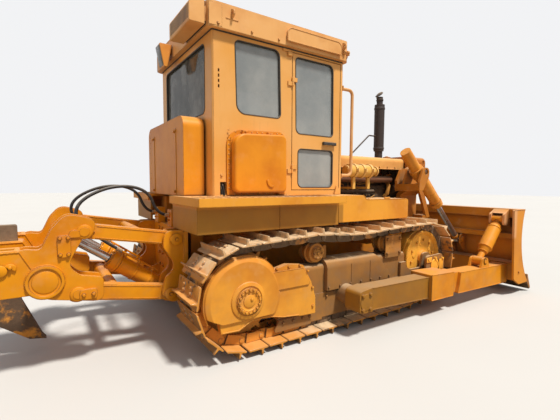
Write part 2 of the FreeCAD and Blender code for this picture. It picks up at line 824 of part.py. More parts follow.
def radiator_guard():
    shoulder = guard_low + 780
    foot = guard_foot_half_width
    outer_corners = (
        (-foot, guard_low, 30),
        (-foot, shoulder, 30),
        (-guard_half_width, shoulder + 100, 40),
        (-guard_half_width, guard_top, 90),
    )
    outer = slab("yz", outer_corners + mirrored_corners(outer_corners), guard_rear_x, guard_front_x)
    corners = radiator_opening()
    pieces = [outer.cut(slab("yz", corners, guard_rear_x - 5, guard_front_x + 5))]
    strut = slab("xz", (
        (3290, 1620, 0),
        (3400, 1620, 40),
        (3490, 1470, 90),
        (3665, 1050, 10),
        (3585, 1035, 10),
        (3400, 1420, 90),
        (3290, 1560, 0),
    ), -guard_half_width - 34, -guard_half_width + 6)
    strut_foot = box((3480, 3650), (-guard_half_width - 30, -foot + 10), (1035, 1085))
    arm = slab("xz", (
        (2830, 1470, 20),
        (2830, 1620, 20),
        (2925, 1800, 60),
        (3040, 1800, 40),
        (3300, 1900, 20),
        (3300, 1470, 20),
    ), -guard_half_width - 40, -guard_half_width)
    inner = lift_y - 110
    outer_y = lift_y + 110
    base = box((2835, 2925), (-outer_y - 30, -guard_half_width), (1480, 1575))
    cheek = (
        (2835, 1480, 10),
        (2835, 1600, 10),
        (2915, 1800, 55),
        (3050, 1800, 60),
        (3050, 1680, 60),
        (2925, 1480, 10),
    )
    cheeks = [slab("xz", cheek, -inner, -inner + 30), slab("xz", cheek, -outer_y - 30, -outer_y)]
    for side in (1, 2):
        for piece in [arm, base, strut, strut_foot] + cheeks:
            pieces.append(piece if side == 1 else left_of(piece))
    for z in (tow_low_z, tow_low_z + 100):
        ear = ((guard_front_x - 20, -70, 0), (guard_front_x + 130, -55, 50), (guard_front_x + 130, 55, 50))
        ear += ((guard_front_x - 20, 70, 0),)
        pieces.append(slab("xy", ear, z, z + 30))
    guard = fuse(pieces)
    guard = guard.cut(both(rod("y", lift_top, 40 + running_gap, -outer_y - 40, -inner + 40)))
    return guard.cut(rod("z", (guard_front_x + 80, 0), tow_bore_radius, tow_low_z - 10, tow_low_z + 140))


def grille():
    """Bars in front of the radiator core; the core fills the guard's opening."""
    bars = [box((3450, 3510), (-450, 450), (790 + 100 * i, 835 + 100 * i)) for i in range(11)]
    posts = [box((3460, 3500), (y - 15, y + 15), (740, 1900)) for y in (-220, 0, 220)]
    window = slab("yz", radiator_opening(), 3440, 3520)
    core = slab("yz", radiator_opening(), 3200, 3290)
    return Part.makeCompound([fuse(bars + posts).common(window), core])


def engine():
    """Engine block with its sump, cylinder head, valve covers and fan."""
    pieces = [
        box((1740, 2950), (-235, 235), (960, 1545)),
        box((1800, 2850), (-200, 200), (700, 970)),
        box((1780, 2900), (-165, 165), (1540, 1700)),
        box((1830, 2340), (-95, 95), (1690, 1770)),
        box((2370, 2860), (-95, 95), (1690, 1770)),
        rod("x", (0, 1330), 70, 2940, 3130),
    ]
    for x in (1900, 2600):
        for side in (-1, 1):
            pieces.append(box((x, x + 100), sorted((side * 200, side * 400)), (860, 990)))
    for i in range(6):
        blade = box((3080, 3115), (-55, 55), (1330, 1700))
        blade.rotate(Vector(3100, 0, 1330), Vector(1, 0, 0), i * 60)
        pieces.append(blade)
    pieces.append(rod("x", (-390, 1465), 22, 1760, 2520))
    for x in (1800, 2480):
        pieces.append(rod("y", (x, 1465), 18, -390, -225))
    pieces.append(box((1960, 2330), (-345, -225), (1215, 1390)))
    for i in range(4):
        pieces.append(rod("z", (2010 + 90 * i, -300), 16, 1380, 1440))
    for x in (2480, 2640):
        pieces.append(rod("z", (x, -315), 58, 1120, 1370))
        pieces.append(box((x - 45, x + 45), (-330, -225), (1365, 1420)))
    pieces.append(rod("x", (330, 1130), 85, 1850, 2150))
    pieces.append(box((1900, 2100), (225, 330), (1080, 1180)))
    return fuse(pieces)


def manifold():
    """Exhaust log with its runners, and the turbocharger under the stack."""
    pieces = [rod("x", (-320, 1640), 48, 1850, 2960)]
    for i in range(4):
        x = 1930 + 270 * i
        pieces.append(rod("y", (x, 1640), 36, -320, -165))
    pieces.append(rod("z", (stack_x, stack_y), 60, 1640, 1800))
    pieces.append(bar((2930, -320, 1640), (stack_x, stack_y, 1660), 50))
    return fuse(pieces)


def exhaust_stack():
    pieces = [rod("z", (stack_x, stack_y), 60, 1800, 2120)]
    pieces.append(rod("z", (stack_x, stack_y), stack_radius, 2090, stack_top - 120))
    pieces.append(rod("z", (stack_x, stack_y), 48, stack_top - 130, stack_top))
    stay = ((2330, stack_y, hood_top + 10), (2766, stack_y, 2321), (stack_x, stack_y, 2318))
    pieces.append(tube(stay, 11, 40))
    pieces.append(rod("z", (2330, stack_y), 30, hood_top, hood_top + 12))
    return fuse(pieces)


def canister():
    line = (-545, 1742)
    pieces = [rod("x", line, canister_radius, 1850, 2270), rod("x", line, 52, 1800, 2395)]
    for x in (1925, 2070, 2215):
        pieces.append(rod("x", line, canister_radius + 9, x, x + 38))
    pieces.append(rod("x", line, 66, 2350, 2375))
    for x in (1930, 2205):
        pieces.append(box((x, x + 50), (-560, -235), (1500, 1530)))
        pieces.append(box((x, x + 50), (-560, -530), (1500, 1680)))
    return fuse(pieces)


def grab_rail():
    """Upright tube ahead of the door, bent back into the cab's front post at both ends."""
    y = -cab_half_width + 40
    rail_x = cab_front_x + 180
    points = ((cab_front_x, y, 1670), (rail_x, y, 1670), (rail_x, y, 2690), (cab_front_x, y, 2690))
    return tube(points, 19, 60)


def lamps():
    """Two round front lamps on the roof and the tapered lamp at the left rear corner."""
    solids = []
    for side in (-1, 1):
        solids.append(rod("x", (side * 650, cab_top + 140), 75, roof_front_x, roof_front_x + 95))
    wedge = slab("xz", (
        (roof_rear_x - 148, 3110, 12),
        (roof_rear_x - 5, 3110, 12),
        (roof_rear_x - 60, 2865, 8),
        (roof_rear_x - 98, 2865, 8),
    ), 170, 330)
    bracket = box((roof_rear_x - 40, roof_rear_x), (215, 285), (3040, 3080))
    solids.append(fuse([wedge, bracket]))
    return Part.makeCompound(solids)


def seat():
    base = box((430, 800), (-170, 170), (deck_top + cab_wall, 1760))
    cushion = slab("xz", ((360, 1755, 30), (360, 1880, 40), (890, 1900, 50), (890, 1765, 30)), -270, 270)
    back = slab("xz", ((330, 1850, 30), (210, 2430, 50), (330, 2430, 50), (450, 1860, 30)), -260, 260)
    rests = [box((380, 790), sorted((side * 275, side * 355)), (2030, 2090)) for side in (-1, 1)]
    posts = [box((380, 440), sorted((side * 270, side * 330)), (1800, 2040)) for side in (-1, 1)]
    return fuse([base, cushion, back] + rests + posts)


def controls():
    """Dash pod, steering levers, blade lever and pedals."""
    dash = slab("xz", (
        (1300, 1800, 20),
        (1270, 2040, 40),
        (1400, 2070, 40),
        (1460, 1990, 0),
        (1460, 1490, 0),
        (1350, 1490, 0),
    ), -330, 330)
    pieces = [dash]
    for y, lean, top in ((-90, 1150, 2010), (90, 1150, 2010), (-250, 1180, 1960)):
        pieces.append(bar((1350, y, 1500), (lean, y, top), 14))
        pieces.append(Part.makeSphere(28, Vector(lean, y, top)))
    for y in (-210, 210):
        pieces.append(box((1180, 1300), (y - 45, y + 45), (1560, 1580)))
        pieces.append(box((1290, 1360), (y - 12, y + 12), (1490, 1575)))
    return fuse(pieces)


# Blade side

def blade_face():
    """Three points of the mouldboard's curved front face: top, middle and foot."""
    top = Vector(arm_front_x + 145, 0, 1225)
    return [top, Vector(arm_front_x + 100, 0, 640), Vector(blade_foot[0], 0, blade_foot[1])]


def blade():
    """Mouldboard with a curved face, end plates, back beams and ears for rods and braces."""
    top, middle, foot = blade_face()
    front = Part.Arc(top, middle, foot).toShape()
    ahead = Vector(400, 0, 0)
    space_edges = [
        front,
        Part.LineSegment(foot, foot + ahead).toShape(),
        Part.LineSegment(foot + ahead, top + ahead).toShape(),
        Part.LineSegment(top + ahead, top).toShape(),
    ]
    space = Part.Face(Part.Wire(space_edges))
    space.translate(Vector(0, -blade_half_width - 10, 0))
    space = space.extrude(Vector(0, 2 * blade_half_width + 20, 0))
    back = Vector(-blade_plate, 0, 0)
    sheet_edges = [
        front,
        Part.LineSegment(foot, foot + back).toShape(),
        Part.Arc(foot + back, middle + back, top + back).toShape(),
        Part.LineSegment(top + back, top).toShape(),
    ]
    sheet = Part.Face(Part.Wire(sheet_edges))
    sheet.translate(Vector(0, -blade_half_width, 0))
    sheet = sheet.extrude(Vector(0, 2 * blade_half_width, 0))
    end = slab("xz", (
        (3905, 1225, 20),
        (4300, 1225, 0),
        (4300, 300, 0),
        (4430, 150, 0),
        (4150, 150, 0),
        (3985, 240, 30),
    ), -blade_half_width, -blade_half_width + 28)
    pieces = [end, left_of(end)]
    inner = blade_half_width - 20
    pieces.append(box((4060, 4220), (-inner, inner), (1110, 1225)))
    pieces.append(box((4050, 4200), (-inner, inner), (800, 870)))
    pieces.append(slab("xz", ((4090, 200, 0), (4090, 440, 0), (4240, 470, 0), (4430, 150, 0)), -inner, inner))
    for side in (-1, 1):
        for low_y in (lift_y - 90, lift_y + 65):
            ear = ((4010, 640, 50), (4010, 770, 50), (4200, 860, 0), (4200, 470, 0))
            pieces.append(slab("xz", ear, *sorted((side * low_y, side * (low_y + 25)))))
        for low_y in (brace_y - 105, brace_y + 75):
            ear = ((3925, 1000, 40), (3925, 1150, 30), (4060, 1215, 0), (4210, 1215, 0), (4210, 960, 60))
            pieces.append(slab("xz", ear, *sorted((side * low_y, side * (low_y + 30)))))
        cap_y = sorted((side * (brace_y - 105), side * (brace_y + 105)))
        cap = ((3960, 1160, 0), (4070, 1225, 0), (4200, 1225, 0), (4200, 1180, 0))
        pieces.append(slab("xz", cap, *cap_y))
    return fuse([sheet] + [piece.cut(space) for piece in pieces])


def cutting_edge():
    foot_x, foot_z = blade_foot
    edge = ((foot_x - blade_plate, foot_z, 0), (foot_x, foot_z, 0))
    edge += ((blade_tip_x, 45, 0), (blade_tip_x - 35, 30, 0))
    return slab("xz", edge, -blade_half_width, blade_half_width)


def push_arm():
    """Arm outside the track: bearing block on the trunnion, rear box, stepped middle box and the
    raised front box that carries the blade. It runs down towards the front."""
    low, high = -arm_outer_y, -arm_inner_y
    rear = slab("xz", ((1280, 275, 0), (1280, 502, 0), (2900, 462, 0), (2900, 208, 0)), low, high)
    block = slab("xz", ((1108, 262, 50), (1108, 488, 50), (1300, 512, 15), (1300, 262, 15)), low - 8, high)
    middle_outline = ((2262, 202, 12), (2262, 512, 12), (2722, 492, 12), (2722, 192, 12))
    middle = slab("xz", middle_outline, low - arm_step, high + 50)
    front = slab("xz", (
        (2850, 300, 110),
        (2880, 466, 12),
        (arm_front_x, 430, 0),
        (arm_front_x, 160, 0),
        (2820, 202, 12),
    ), low - arm_step, high - arm_step)
    foot_x, foot_z = brace_foot
    lug_top = foot_z + 50
    lug = ((foot_x - 110, 440, 0), (foot_x - 55, lug_top, 50))
    lug += ((foot_x + 60, lug_top, 50), (foot_x + 120, 440, 0))
    clevis = []
    for inner_y in (-brace_y + 62, -brace_y - 92):
        clevis.append(slab("xz", lug, inner_y, inner_y + 30))
    arm = fuse([rear, block, middle, front] + clevis)
    arm = arm.cut(rod("y", brace_foot, 30.3, -brace_y - 110, -brace_y + 110))
    return arm.cut(rod("y", (arm_pivot_x, arm_pivot_z), 60 + running_gap, low + 24, high + 10))


def tilt_brace():
    """Strut from the arm's lugs to the blade's top: end eyes, screws and the thick tapered body."""
    foot = Vector(brace_foot[0], -brace_y, brace_foot[1])
    head = Vector(brace_head[0], -brace_y, brace_head[1])
    along = (head - foot).normalize()
    length = (head - foot).Length
    pieces = [Part.makeCylinder(42, length, foot, along)]
    pieces.append(Part.makeCylinder(88, 0.46 * length, foot + along * (0.3 * length), along))
    pieces.append(Part.makeCone(55, 88, 0.1 * length, foot + along * (0.2 * length), along))
    pieces.append(Part.makeCone(88, 60, 0.08 * length, foot + along * (0.76 * length), along))
    pieces.append(rod("y", brace_foot, 58, -brace_y - 61.7, -brace_y + 61.7))
    pieces.append(rod("y", brace_foot, 30, -brace_y - 100, -brace_y + 100))
    pieces.append(rod("y", brace_head, 56, -brace_y - 74.7, -brace_y + 74.7))
    hook_at = foot + along * (0.52 * length)
    hook_x = (hook_at.x + 40, hook_at.x + 150)
    pieces.append(box(hook_x, (-brace_y - 25, -brace_y + 25), (hook_at.z - 80, hook_at.z - 20)))
    return fuse(pieces)


def cylinder_parts(base, eye, y, radius, rear, front, pipe_low, rod_radius, rod_length, eye_size):
    """Barrel with its feed pipe, and rod, of one hydraulic cylinder in the xz plane at y; the rod's
    eye has a radius and a width."""
    eye_radius, eye_width = eye_size
    start = Vector(base[0], y, base[1])
    end = Vector(eye[0], y, eye[1])
    along = (end - start).normalize()
    reach = (end - start).Length

    def piece(r, low, high):
        return Part.makeCylinder(r, high - low, start + along * low, along)

    wall = 15
    barrel = fuse([piece(radius, -rear, front), piece(radius + 12, front - 75, front)])
    across = Vector(along.z, 0, -along.x)
    if across.z < 0:
        across = across * -1
    pipe_way = start + across * (radius + pipe_stand)
    blocks = []
    for share in (0.12, 0.5, 0.88):
        on = start + along * (pipe_low + (front - 50 - pipe_low) * share)
        blocks.append(Part.makeCylinder(16, pipe_stand + 10, on + across * (radius - 12), across))
    pipe = Part.makeCylinder(11, front - 50 - pipe_low, pipe_way + along * pipe_low, along)
    barrel = fuse([barrel, pipe] + blocks)
    barrel = barrel.cut(piece(radius - wall, -rear + 25, front - 60))
    barrel = barrel.cut(piece(rod_radius + running_gap, front - 70, front + 10))
    shaft = fuse([
        piece(rod_radius, reach - rod_length, reach - eye_radius + 8),
        piece(radius - wall - running_gap, reach - rod_length, reach - rod_length + 50),
        rod("y", eye, eye_radius, y - eye_width / 2, y + eye_width / 2),
    ])
    return barrel, shaft, piece


def lift_cylinder():
    barrel, shaft, piece = cylinder_parts(
        lift_top, lift_eye, -lift_y, lift_barrel_radius, lift_barrel_rear, lift_barrel_front, 110,
        lift_rod_radius, lift_rod_length, (55, 80),
    )
    collar = piece(lift_barrel_radius + 22, -70, 70).cut(piece(lift_barrel_radius - 5, -80, 80))
    stubs = rod("y", lift_top, 40, -lift_y - 108, -lift_y + 138).cut(piece(lift_barrel_radius - 5, -80, 80))
    barrel = fuse([barrel, collar, stubs])
    pin = rod("y", lift_eye, 30, -lift_y - 52, -lift_y + 52)
    return barrel, fuse([shaft, pin])


# Ripper

def moved_pin(pin):
    return (pin[0] + ripper_link[0], pin[1] + ripper_link[1])


def ripper_bracket():
    """Rear mounting plate with paired ears for the links and the cylinder bases."""
    plate = box((case_rear_x - 40, case_rear_x), (-640, 640), (455, 1120))
    ear = (
        (case_rear_x - 20, 440, 0),
        (-500, 440, 70),
        (-585, 525, 75),
        (-540, 690, 60),
        (-430, 760, 100),
        (-560, 965, 60),
        (-560, 1118, 85),
        (case_rear_x - 20, 1118, 0),
    )
    ears = []
    for low in (-link_outer_y - 45, -link_inner_y + 12):
        ears.append(slab("xz", ear, low, low + 33))
    lower_x, lower_z = ripper_lower_pin
    small = (
        (case_rear_x - 20, lower_z - 75, 0),
        (lower_x, lower_z - 60, 50),
        (lower_x - 60, lower_z, 58),
        (lower_x, lower_z + 60, 50),
        (case_rear_x - 20, lower_z + 120, 0),
    )
    inner_ear = -ripper_cylinder_y + 70
    ears.append(slab("xz", small, inner_ear, inner_ear + 28))
    pins = []
    for pin in (ripper_upper_pin, ripper_lower_pin):
        pins.append(rod("y", pin, pin_radius, -link_outer_y - 52, -link_inner_y + 50))
    pins.append(rod("y", ripper_lower_pin, 30, -link_inner_y + 12, inner_ear + 34))
    block = box((case_rear_x - 60, case_rear_x + 20), (-320, -180), (1115, 1290))
    right = ears + pins + [block]
    return fuse([plate] + right + [left_of(piece) for piece in right])


def ripper_arm(pin, depth, boss, cross_share, cross_radius):
    end = moved_pin(pin)
    arm = link_bar(pin, end, depth, -link_outer_y, -link_inner_y, boss)
    centre = (pin[0] + ripper_link[0] * cross_share, pin[1] + ripper_link[1] * cross_share)
    cross = rod("y", centre, cross_radius, -link_inner_y - 10, link_inner_y + 10)
    whole = fuse([arm, left_of(arm), cross])
    for place_on in (pin, end):
        bore = rod("y", place_on, pin_radius + running_gap, -link_outer_y - 10, -link_inner_y + 10)
        whole = whole.cut(both(bore))
    return whole


def ripper_beam():
    """Side plates, round cross tube and the three shank holders."""
    upper = moved_pin(ripper_upper_pin)
    lower = moved_pin(ripper_lower_pin)
    plate = (
        (-1760, 715, 25),
        (-1765, 1012, 25),
        (-1600, 1050, 60),
        (-1500, 1035, 50),
        (-1425, 1200, 160),
        (-1325, 1315, 110),
        (-1105, 1255, 60),
        (-1140, 1135, 30),
        (-1215, 1105, 40),
        (-1330, 890, 90),
        (-1240, 803, 60),
        (lower[0] + 192, 765, 35),
        (lower[0] + 188, 572, 50),
        (-1150, 575, 150),
        (-1450, 635, 150),
        (-1620, 712, 60),
    )
    eye_x, eye_z = ripper_rod_eye
    inner = -link_inner_y + 10
    right = [slab("xz", plate, -650, -605), slab("xz", plate, inner, inner + 28)]
    small = (
        (ripper_tube[0], ripper_tube[1] + 40, 0),
        (eye_x - 75, eye_z + 75, 60),
        (eye_x + 70, eye_z + 75, 60),
        (eye_x + 70, eye_z - 70, 60),
        (ripper_tube[0] + 90, ripper_tube[1] - 20, 0),
    )
    cheek_y = -ripper_cylinder_y + 98
    right.append(slab("xz", small, cheek_y, cheek_y + 28))
    right.append(rod("y", ripper_rod_eye, 48, inner + 20, inner + 62))
    right.append(rod("y", ripper_rod_eye, 48, cheek_y - 14, cheek_y + 10))
    for pin in (upper, lower):
        right.append(rod("y", pin, pin_radius, -664, inner + 32))
    right.append(rod("y", ripper_tube, 130, -674, -640).cut(rod("y", ripper_tube, 108, -680, -662)))
    keeper = ((-1392, 965, 20), (-1392, 1142, 20), (-1300, 1142, 20), (-1300, 965, 20))
    right.append(slab("xz", keeper, -664, -645))
    crescent = ((-1322, 1118, 15), (-1300, 1178, 20), (-1245, 1178, 20), (-1222, 1118, 15))
    right.append(slab("xz", crescent, -662, -645))
    low_keeper = ((-1250, 600, 20), (-1250, 684, 20), (-1122, 684, 20), (-1122, 600, 20))
    right.append(slab("xz", low_keeper, -672, -645))
    pieces = right + [left_of(piece) for piece in right]
    pieces.append(rod("y", ripper_tube, ripper_tube_radius, -655, 655))
    for y in holder_y:
        pieces.append(slab("xz", (
            (-1560, 690, 0),
            (-1560, 900, 0),
            (-1640, 1045, 30),
            (shank_rear_x - 60, 1045, 30),
            (shank_rear_x - 60, 690, 30),
        ), y - 105, y + 105))
    beam = fuse(pieces)
    for y in holder_y:
        slot = (shank_rear_x - 3, shank_rear_x + 273)
        beam = beam.cut(box(slot, (y - shank_thickness / 2 - 4, y + shank_thickness / 2 + 4), (600, 1100)))
    beam = beam.cut(rod("y", shank_pin, shank_pin_radius + 0.3, -150, 150))
    spare_pins = [rod("y", shank_pin, shank_pin_radius, y - 112, y + 112) for y in holder_y if y]
    return fuse([beam] + spare_pins)


def shank():
    """The one fitted shank, in the middle holder, with its forward-pointing tip and cross pin."""
    blade_shape = slab("xz", (
        (shank_rear_x, 1185, 20),
        (shank_rear_x + 270, 1185, 20),
        (shank_rear_x + 270, 520, 200),
        (-1520, 150, 0),
        (-1490, 108, 0),
        (-1620, 130, 0),
        (shank_rear_x + 60, 330, 150),
        (shank_rear_x, 600, 150),
    ), -shank_thickness / 2, shank_thickness / 2)
    return fuse([blade_shape, rod("y", shank_pin, shank_pin_radius, -112, 112)])


def ripper_cylinder():
    """Barrel on the lower link's front pin and rod to the beam's upper eye."""
    y = -ripper_cylinder_y
    barrel, shaft, piece = cylinder_parts(
        ripper_lower_pin, ripper_rod_eye, y, ripper_barrel_radius, -75, ripper_barrel_front, 130,
        36, ripper_rod_length, (58, 70),
    )
    eye = rod("y", ripper_lower_pin, 58, y - 48, y + 48)
    barrel = fuse([barrel, eye, piece(45, 20, 95)])
    barrel = barrel.cut(rod("y", ripper_lower_pin, 30 + running_gap, -500, -200))
    return barrel, fuse([shaft, rod("y", ripper_rod_eye, 28, y - 45, y + 45)])


def ripper_hose():
    """Hose from the bracket plate over the upper link and down to the barrel's rod end."""
    return tube(hose_route, hose_radius)


os.makedirs("parts", exist_ok=True)

save("main_frame", main_frame())
save("belly_guard", belly_guard())
save("equalizer_bar", equalizer_bar())
save("engine", engine())
save("exhaust_manifold", manifold())
save("exhaust_stack", exhaust_stack())
save("side_canister", canister())
save("hood", hood())
save("radiator_guard", radiator_guard())
save("radiator_grille", grille())
save("fender_right", fender(-1))
save("fender_left", fender(1))
save("fuel_tank", fuel_tank())
save("cab_shell", cab_shell())
save("cab_glass", cab_glass())
save("cab_roof", cab_roof())
save("side_boxes", both(side_box()))
save("grab_rails", both(grab_rail()))
save("work_lamps", lamps())
save("seat", seat())
save("controls", controls())
save("ripper_bracket", ripper_bracket())
save("door_right", door())
save("door_left", left_of(door()))
save("door_glass_right", door_glass())
save("door_glass_left", left_of(door_glass()))

save("track_right", track(-track_y))
save("track_left", left_of(track(-track_y)))
for name, make in (
    ("sprocket", sprocket),
    ("sprocket_guard", sprocket_guard),
    ("roller_frame", roller_frame),
    ("rollers", rollers),
    ("idler", idler),
):
    shape = make(-track_y)
    save(name + "_right", shape)
    save(name + "_left", left_of(shape))

save("blade", blade())
save("cutting_edge", cutting_edge())
save("push_arm_right", push_arm())
save("push_arm_left", left_of(push_arm()))
save("tilt_braces", both(tilt_brace()))
lift_barrel, lift_rod = lift_cylinder()
save("lift_barrel_right", lift_barrel)
save("lift_barrel_left", left_of(lift_barrel))
save("lift_rod_right", lift_rod)
save("lift_rod_left", left_of(lift_rod))

save("ripper_upper_link", ripper_arm(ripper_upper_pin, 126, 66, 0.35, 45))
save("ripper_lower_link", ripper_arm(ripper_lower_pin, 138, 84, 0.62, 60))
save("ripper_beam", ripper_beam())
save("ripper_shank", shank())
ripper_barrel, ripper_rod = ripper_cylinder()
save("ripper_barrel_right", ripper_barrel)
save("ripper_barrel_left", left_of(ripper_barrel))
save("ripper_rod_right", ripper_rod)
save("ripper_rod_left", left_of(ripper_rod))
save("ripper_hose_right", ripper_hose())
save("ripper_hose_left", left_of(ripper_hose()))
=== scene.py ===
import math
import random

import bmesh
import bpy
from mathutils import Matrix, Vector


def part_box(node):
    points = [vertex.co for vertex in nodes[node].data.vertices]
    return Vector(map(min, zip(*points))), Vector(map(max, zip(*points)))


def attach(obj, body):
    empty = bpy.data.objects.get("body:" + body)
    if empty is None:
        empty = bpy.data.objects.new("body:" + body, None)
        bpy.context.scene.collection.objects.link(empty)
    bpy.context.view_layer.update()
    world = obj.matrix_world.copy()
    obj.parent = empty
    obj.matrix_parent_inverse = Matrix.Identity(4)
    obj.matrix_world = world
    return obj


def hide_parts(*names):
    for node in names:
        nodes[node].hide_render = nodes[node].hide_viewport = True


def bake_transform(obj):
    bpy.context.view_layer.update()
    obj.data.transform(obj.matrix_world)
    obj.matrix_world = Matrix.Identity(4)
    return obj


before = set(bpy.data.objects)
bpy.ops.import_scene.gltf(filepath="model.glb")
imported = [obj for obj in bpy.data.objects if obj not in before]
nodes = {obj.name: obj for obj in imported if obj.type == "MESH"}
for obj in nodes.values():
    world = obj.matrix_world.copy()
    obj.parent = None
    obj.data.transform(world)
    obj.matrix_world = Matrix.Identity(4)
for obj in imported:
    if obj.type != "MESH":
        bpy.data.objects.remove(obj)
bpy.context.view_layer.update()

# Camera
# The photograph was taken by someone standing off the right rear corner,
# with a phone's wide lens held a little below eye height.
camera_place = Vector((-2.7335, -3.933, 1.56))
camera_heading = math.radians(56.275)
camera_pitch = math.radians(-4.18)
camera_roll = math.radians(0.36)
sensor_width = 36.0
focal_share = 355 / 560
ahead = Vector((
    math.cos(camera_heading) * math.cos(camera_pitch),
    math.sin(camera_heading) * math.cos(camera_pitch),
    math.sin(camera_pitch),
))
level = Vector((math.sin(camera_heading), -math.cos(camera_heading), 0))
upright = level.cross(ahead)
right = level * math.cos(camera_roll) + upright * math.sin(camera_roll)
above = upright * math.cos(camera_roll) - level * math.sin(camera_roll)
camera_data = bpy.data.cameras.new("camera")
camera_data.sensor_width = sensor_width
camera_data.lens = sensor_width * focal_share
camera = bpy.data.objects.new("camera", camera_data)
camera.matrix_world = Matrix((
    (right.x, above.x, -ahead.x, camera_place.x),
    (right.y, above.y, -ahead.y, camera_place.y),
    (right.z, above.z, -ahead.z, camera_place.z),
    (0, 0, 0, 1),
))
bpy.context.scene.collection.objects.link(camera)
bpy.context.scene.camera = camera


class Socket:
    """An output of a material's nodes, used in plain arithmetic."""

    def __init__(self, finish, link):
        self.finish = finish
        self.link = link

    def maths(self, operation, *values):
        return self.finish.node("Math", {"operation": operation}, dict(enumerate(values)))

    def __add__(self, other):
        return self.maths("ADD", self, other)

    __radd__ = __add__

    def __mul__(self, other):
        return self.maths("MULTIPLY", self, other)

    __rmul__ = __mul__

    def __sub__(self, other):
        return self.maths("SUBTRACT", self, other)

    def __rsub__(self, other):
        return self.maths("SUBTRACT", other, self)

    def clamped(self):
        return self.finish.node("Clamp", {}, {"Value": self})

    def between(self, low, high):
        """0 below low, 1 above high and a soft step in between."""
        values = {"Value": self, "From Min": low, "From Max": high}
        return self.finish.node("MapRange", {"interpolation_type": "SMOOTHSTEP"}, values)


class Finish:
    """One material and its nodes, ending in a Principled shader."""

    def __init__(self, name):
        self.material = bpy.data.materials.new(name)
        self.material.use_nodes = True
        self.tree = self.material.node_tree
        self.shader = self.tree.nodes["Principled BSDF"]

    def node(self, kind, settings, values, output=0):
        made = self.tree.nodes.new("ShaderNode" + kind)
        for key, setting in settings.items():
            if key == "stops":
                ramp = made.color_ramp
                for place, colour in setting[1:-1]:
                    ramp.elements.new(place).color = (*colour, 1)
                ends = ((ramp.elements[0], setting[0]), (ramp.elements[-1], setting[-1]))
                for element, (place, colour) in ends:
                    element.position = place
                    element.color = (*colour, 1)
            else:
                setattr(made, key, setting)
        for key, value in values.items():
            self.feed(made.inputs[key], value)
        return Socket(self, made.outputs[output])

    def feed(self, socket, value):
        if isinstance(value, Socket):
            self.tree.links.new(value.link, socket)
        elif isinstance(value, tuple) and len(value) == 3 and socket.type == "RGBA":
            socket.default_value = (*value, 1)
        else:
            socket.default_value = value

    def mix(self, share, first, second, how="MIX"):
        """Colour between first and second."""
        return self.node("Mix", {"data_type": "RGBA", "blend_type": how}, {0: share, 6: first, 7: second}, 2)

    def place(self, stretch=(1, 1, 1)):
        """The point on the piece in metres, which moves with it."""
        here = self.node("TexCoord", {}, {}, "Object")
        return self.node("VectorMath", {"operation": "MULTIPLY"}, {0: here, 1: stretch})

    def noise(self, scale, detail=3.0, rough=0.55, stretch=(1, 1, 1)):
        values = {"Vector": self.place(stretch), "Scale": scale, "Detail": detail, "Roughness": rough}
        return self.node("TexNoise", {}, values, "Fac")

    def along(self, axis):
        """How far the point lies along an axis of the piece, in metres."""
        return self.node("SeparateXYZ", {}, {0: self.place()}, axis)

    def facing(self, axis):
        """How much the surface faces along an axis, from -1 to 1."""
        normal = self.node("TexCoord", {}, {}, "Normal")
        return self.node("SeparateXYZ", {}, {0: normal}, axis)

    def facing_up(self):
        return self.facing("Z")

    def height(self):
        return self.along("Z")

    def edges(self, radius, sharpness=4.0):
        """Near 1 along edges and corners, 0 on open faces, and the normal with those edges rounded."""
        rounded = self.node("Bevel", {"samples": 4}, {"Radius": radius})
        true = self.node("NewGeometry", {}, {}, "Normal")
        same = self.node("VectorMath", {"operation": "DOT_PRODUCT"}, {0: rounded, 1: true}, "Value")
        return ((1 - same) * sharpness).clamped(), rounded

    def hollows(self, reach):
        """1 deep in a corner or gap, 0 in the open."""
        return 1 - self.node("AmbientOcclusion", {"samples": 4}, {"Distance": reach}, "AO")

    def end(self, colour, roughness, metallic=0.0, bump=None, strength=0.3, depth=0.002,
            normal=None, **fixed):
        """Feeds the shader; bump is a relief of this strength and depth, laid over the normal."""
        self.feed(self.shader.inputs["Base Color"], colour)
        self.feed(self.shader.inputs["Roughness"], roughness)
        self.feed(self.shader.inputs["Metallic"], metallic)
        for key, value in fixed.items():
            self.shader.inputs[key.replace("_", " ")].default_value = value
        if bump is not None:
            values = {"Height": bump, "Strength": strength, "Distance": depth}
            if normal is not None:
                values["Normal"] = normal
            normal = self.node("Bump", {}, values)
        if normal is not None:
            self.feed(self.shader.inputs["Normal"], normal)
        return self.material


# Studio
# A pale floor under a pale even surround. One broad lamp stands high off the machine's right side,
# a little ahead of it, and the surround fills the rest.
floor_finish = Finish("studio floor")
floor_grain = floor_finish.noise(0.4, 2.0)
floor_colour = floor_finish.mix(floor_grain, (0.60, 0.595, 0.58), (0.64, 0.635, 0.62))
floor_seen = floor_finish.node("LightPath", {}, {}, "Is Camera Ray")
floor_finish.end(floor_finish.mix(floor_seen, (0.30, 0.27, 0.22), floor_colour), 0.9)
floor_mesh = bpy.data.meshes.new("studio_floor")
floor_half = 60.0
floor_corners = [(x * floor_half, y * floor_half, 0) for x, y in ((-1, -1), (1, -1), (1, 1), (-1, 1))]
floor_mesh.from_pydata(floor_corners, [], [(0, 1, 2, 3)])
floor = bpy.data.objects.new("studio_floor", floor_mesh)
floor.location.z = -0.002
floor.data.materials.append(floor_finish.material)
bpy.context.scene.collection.objects.link(floor)

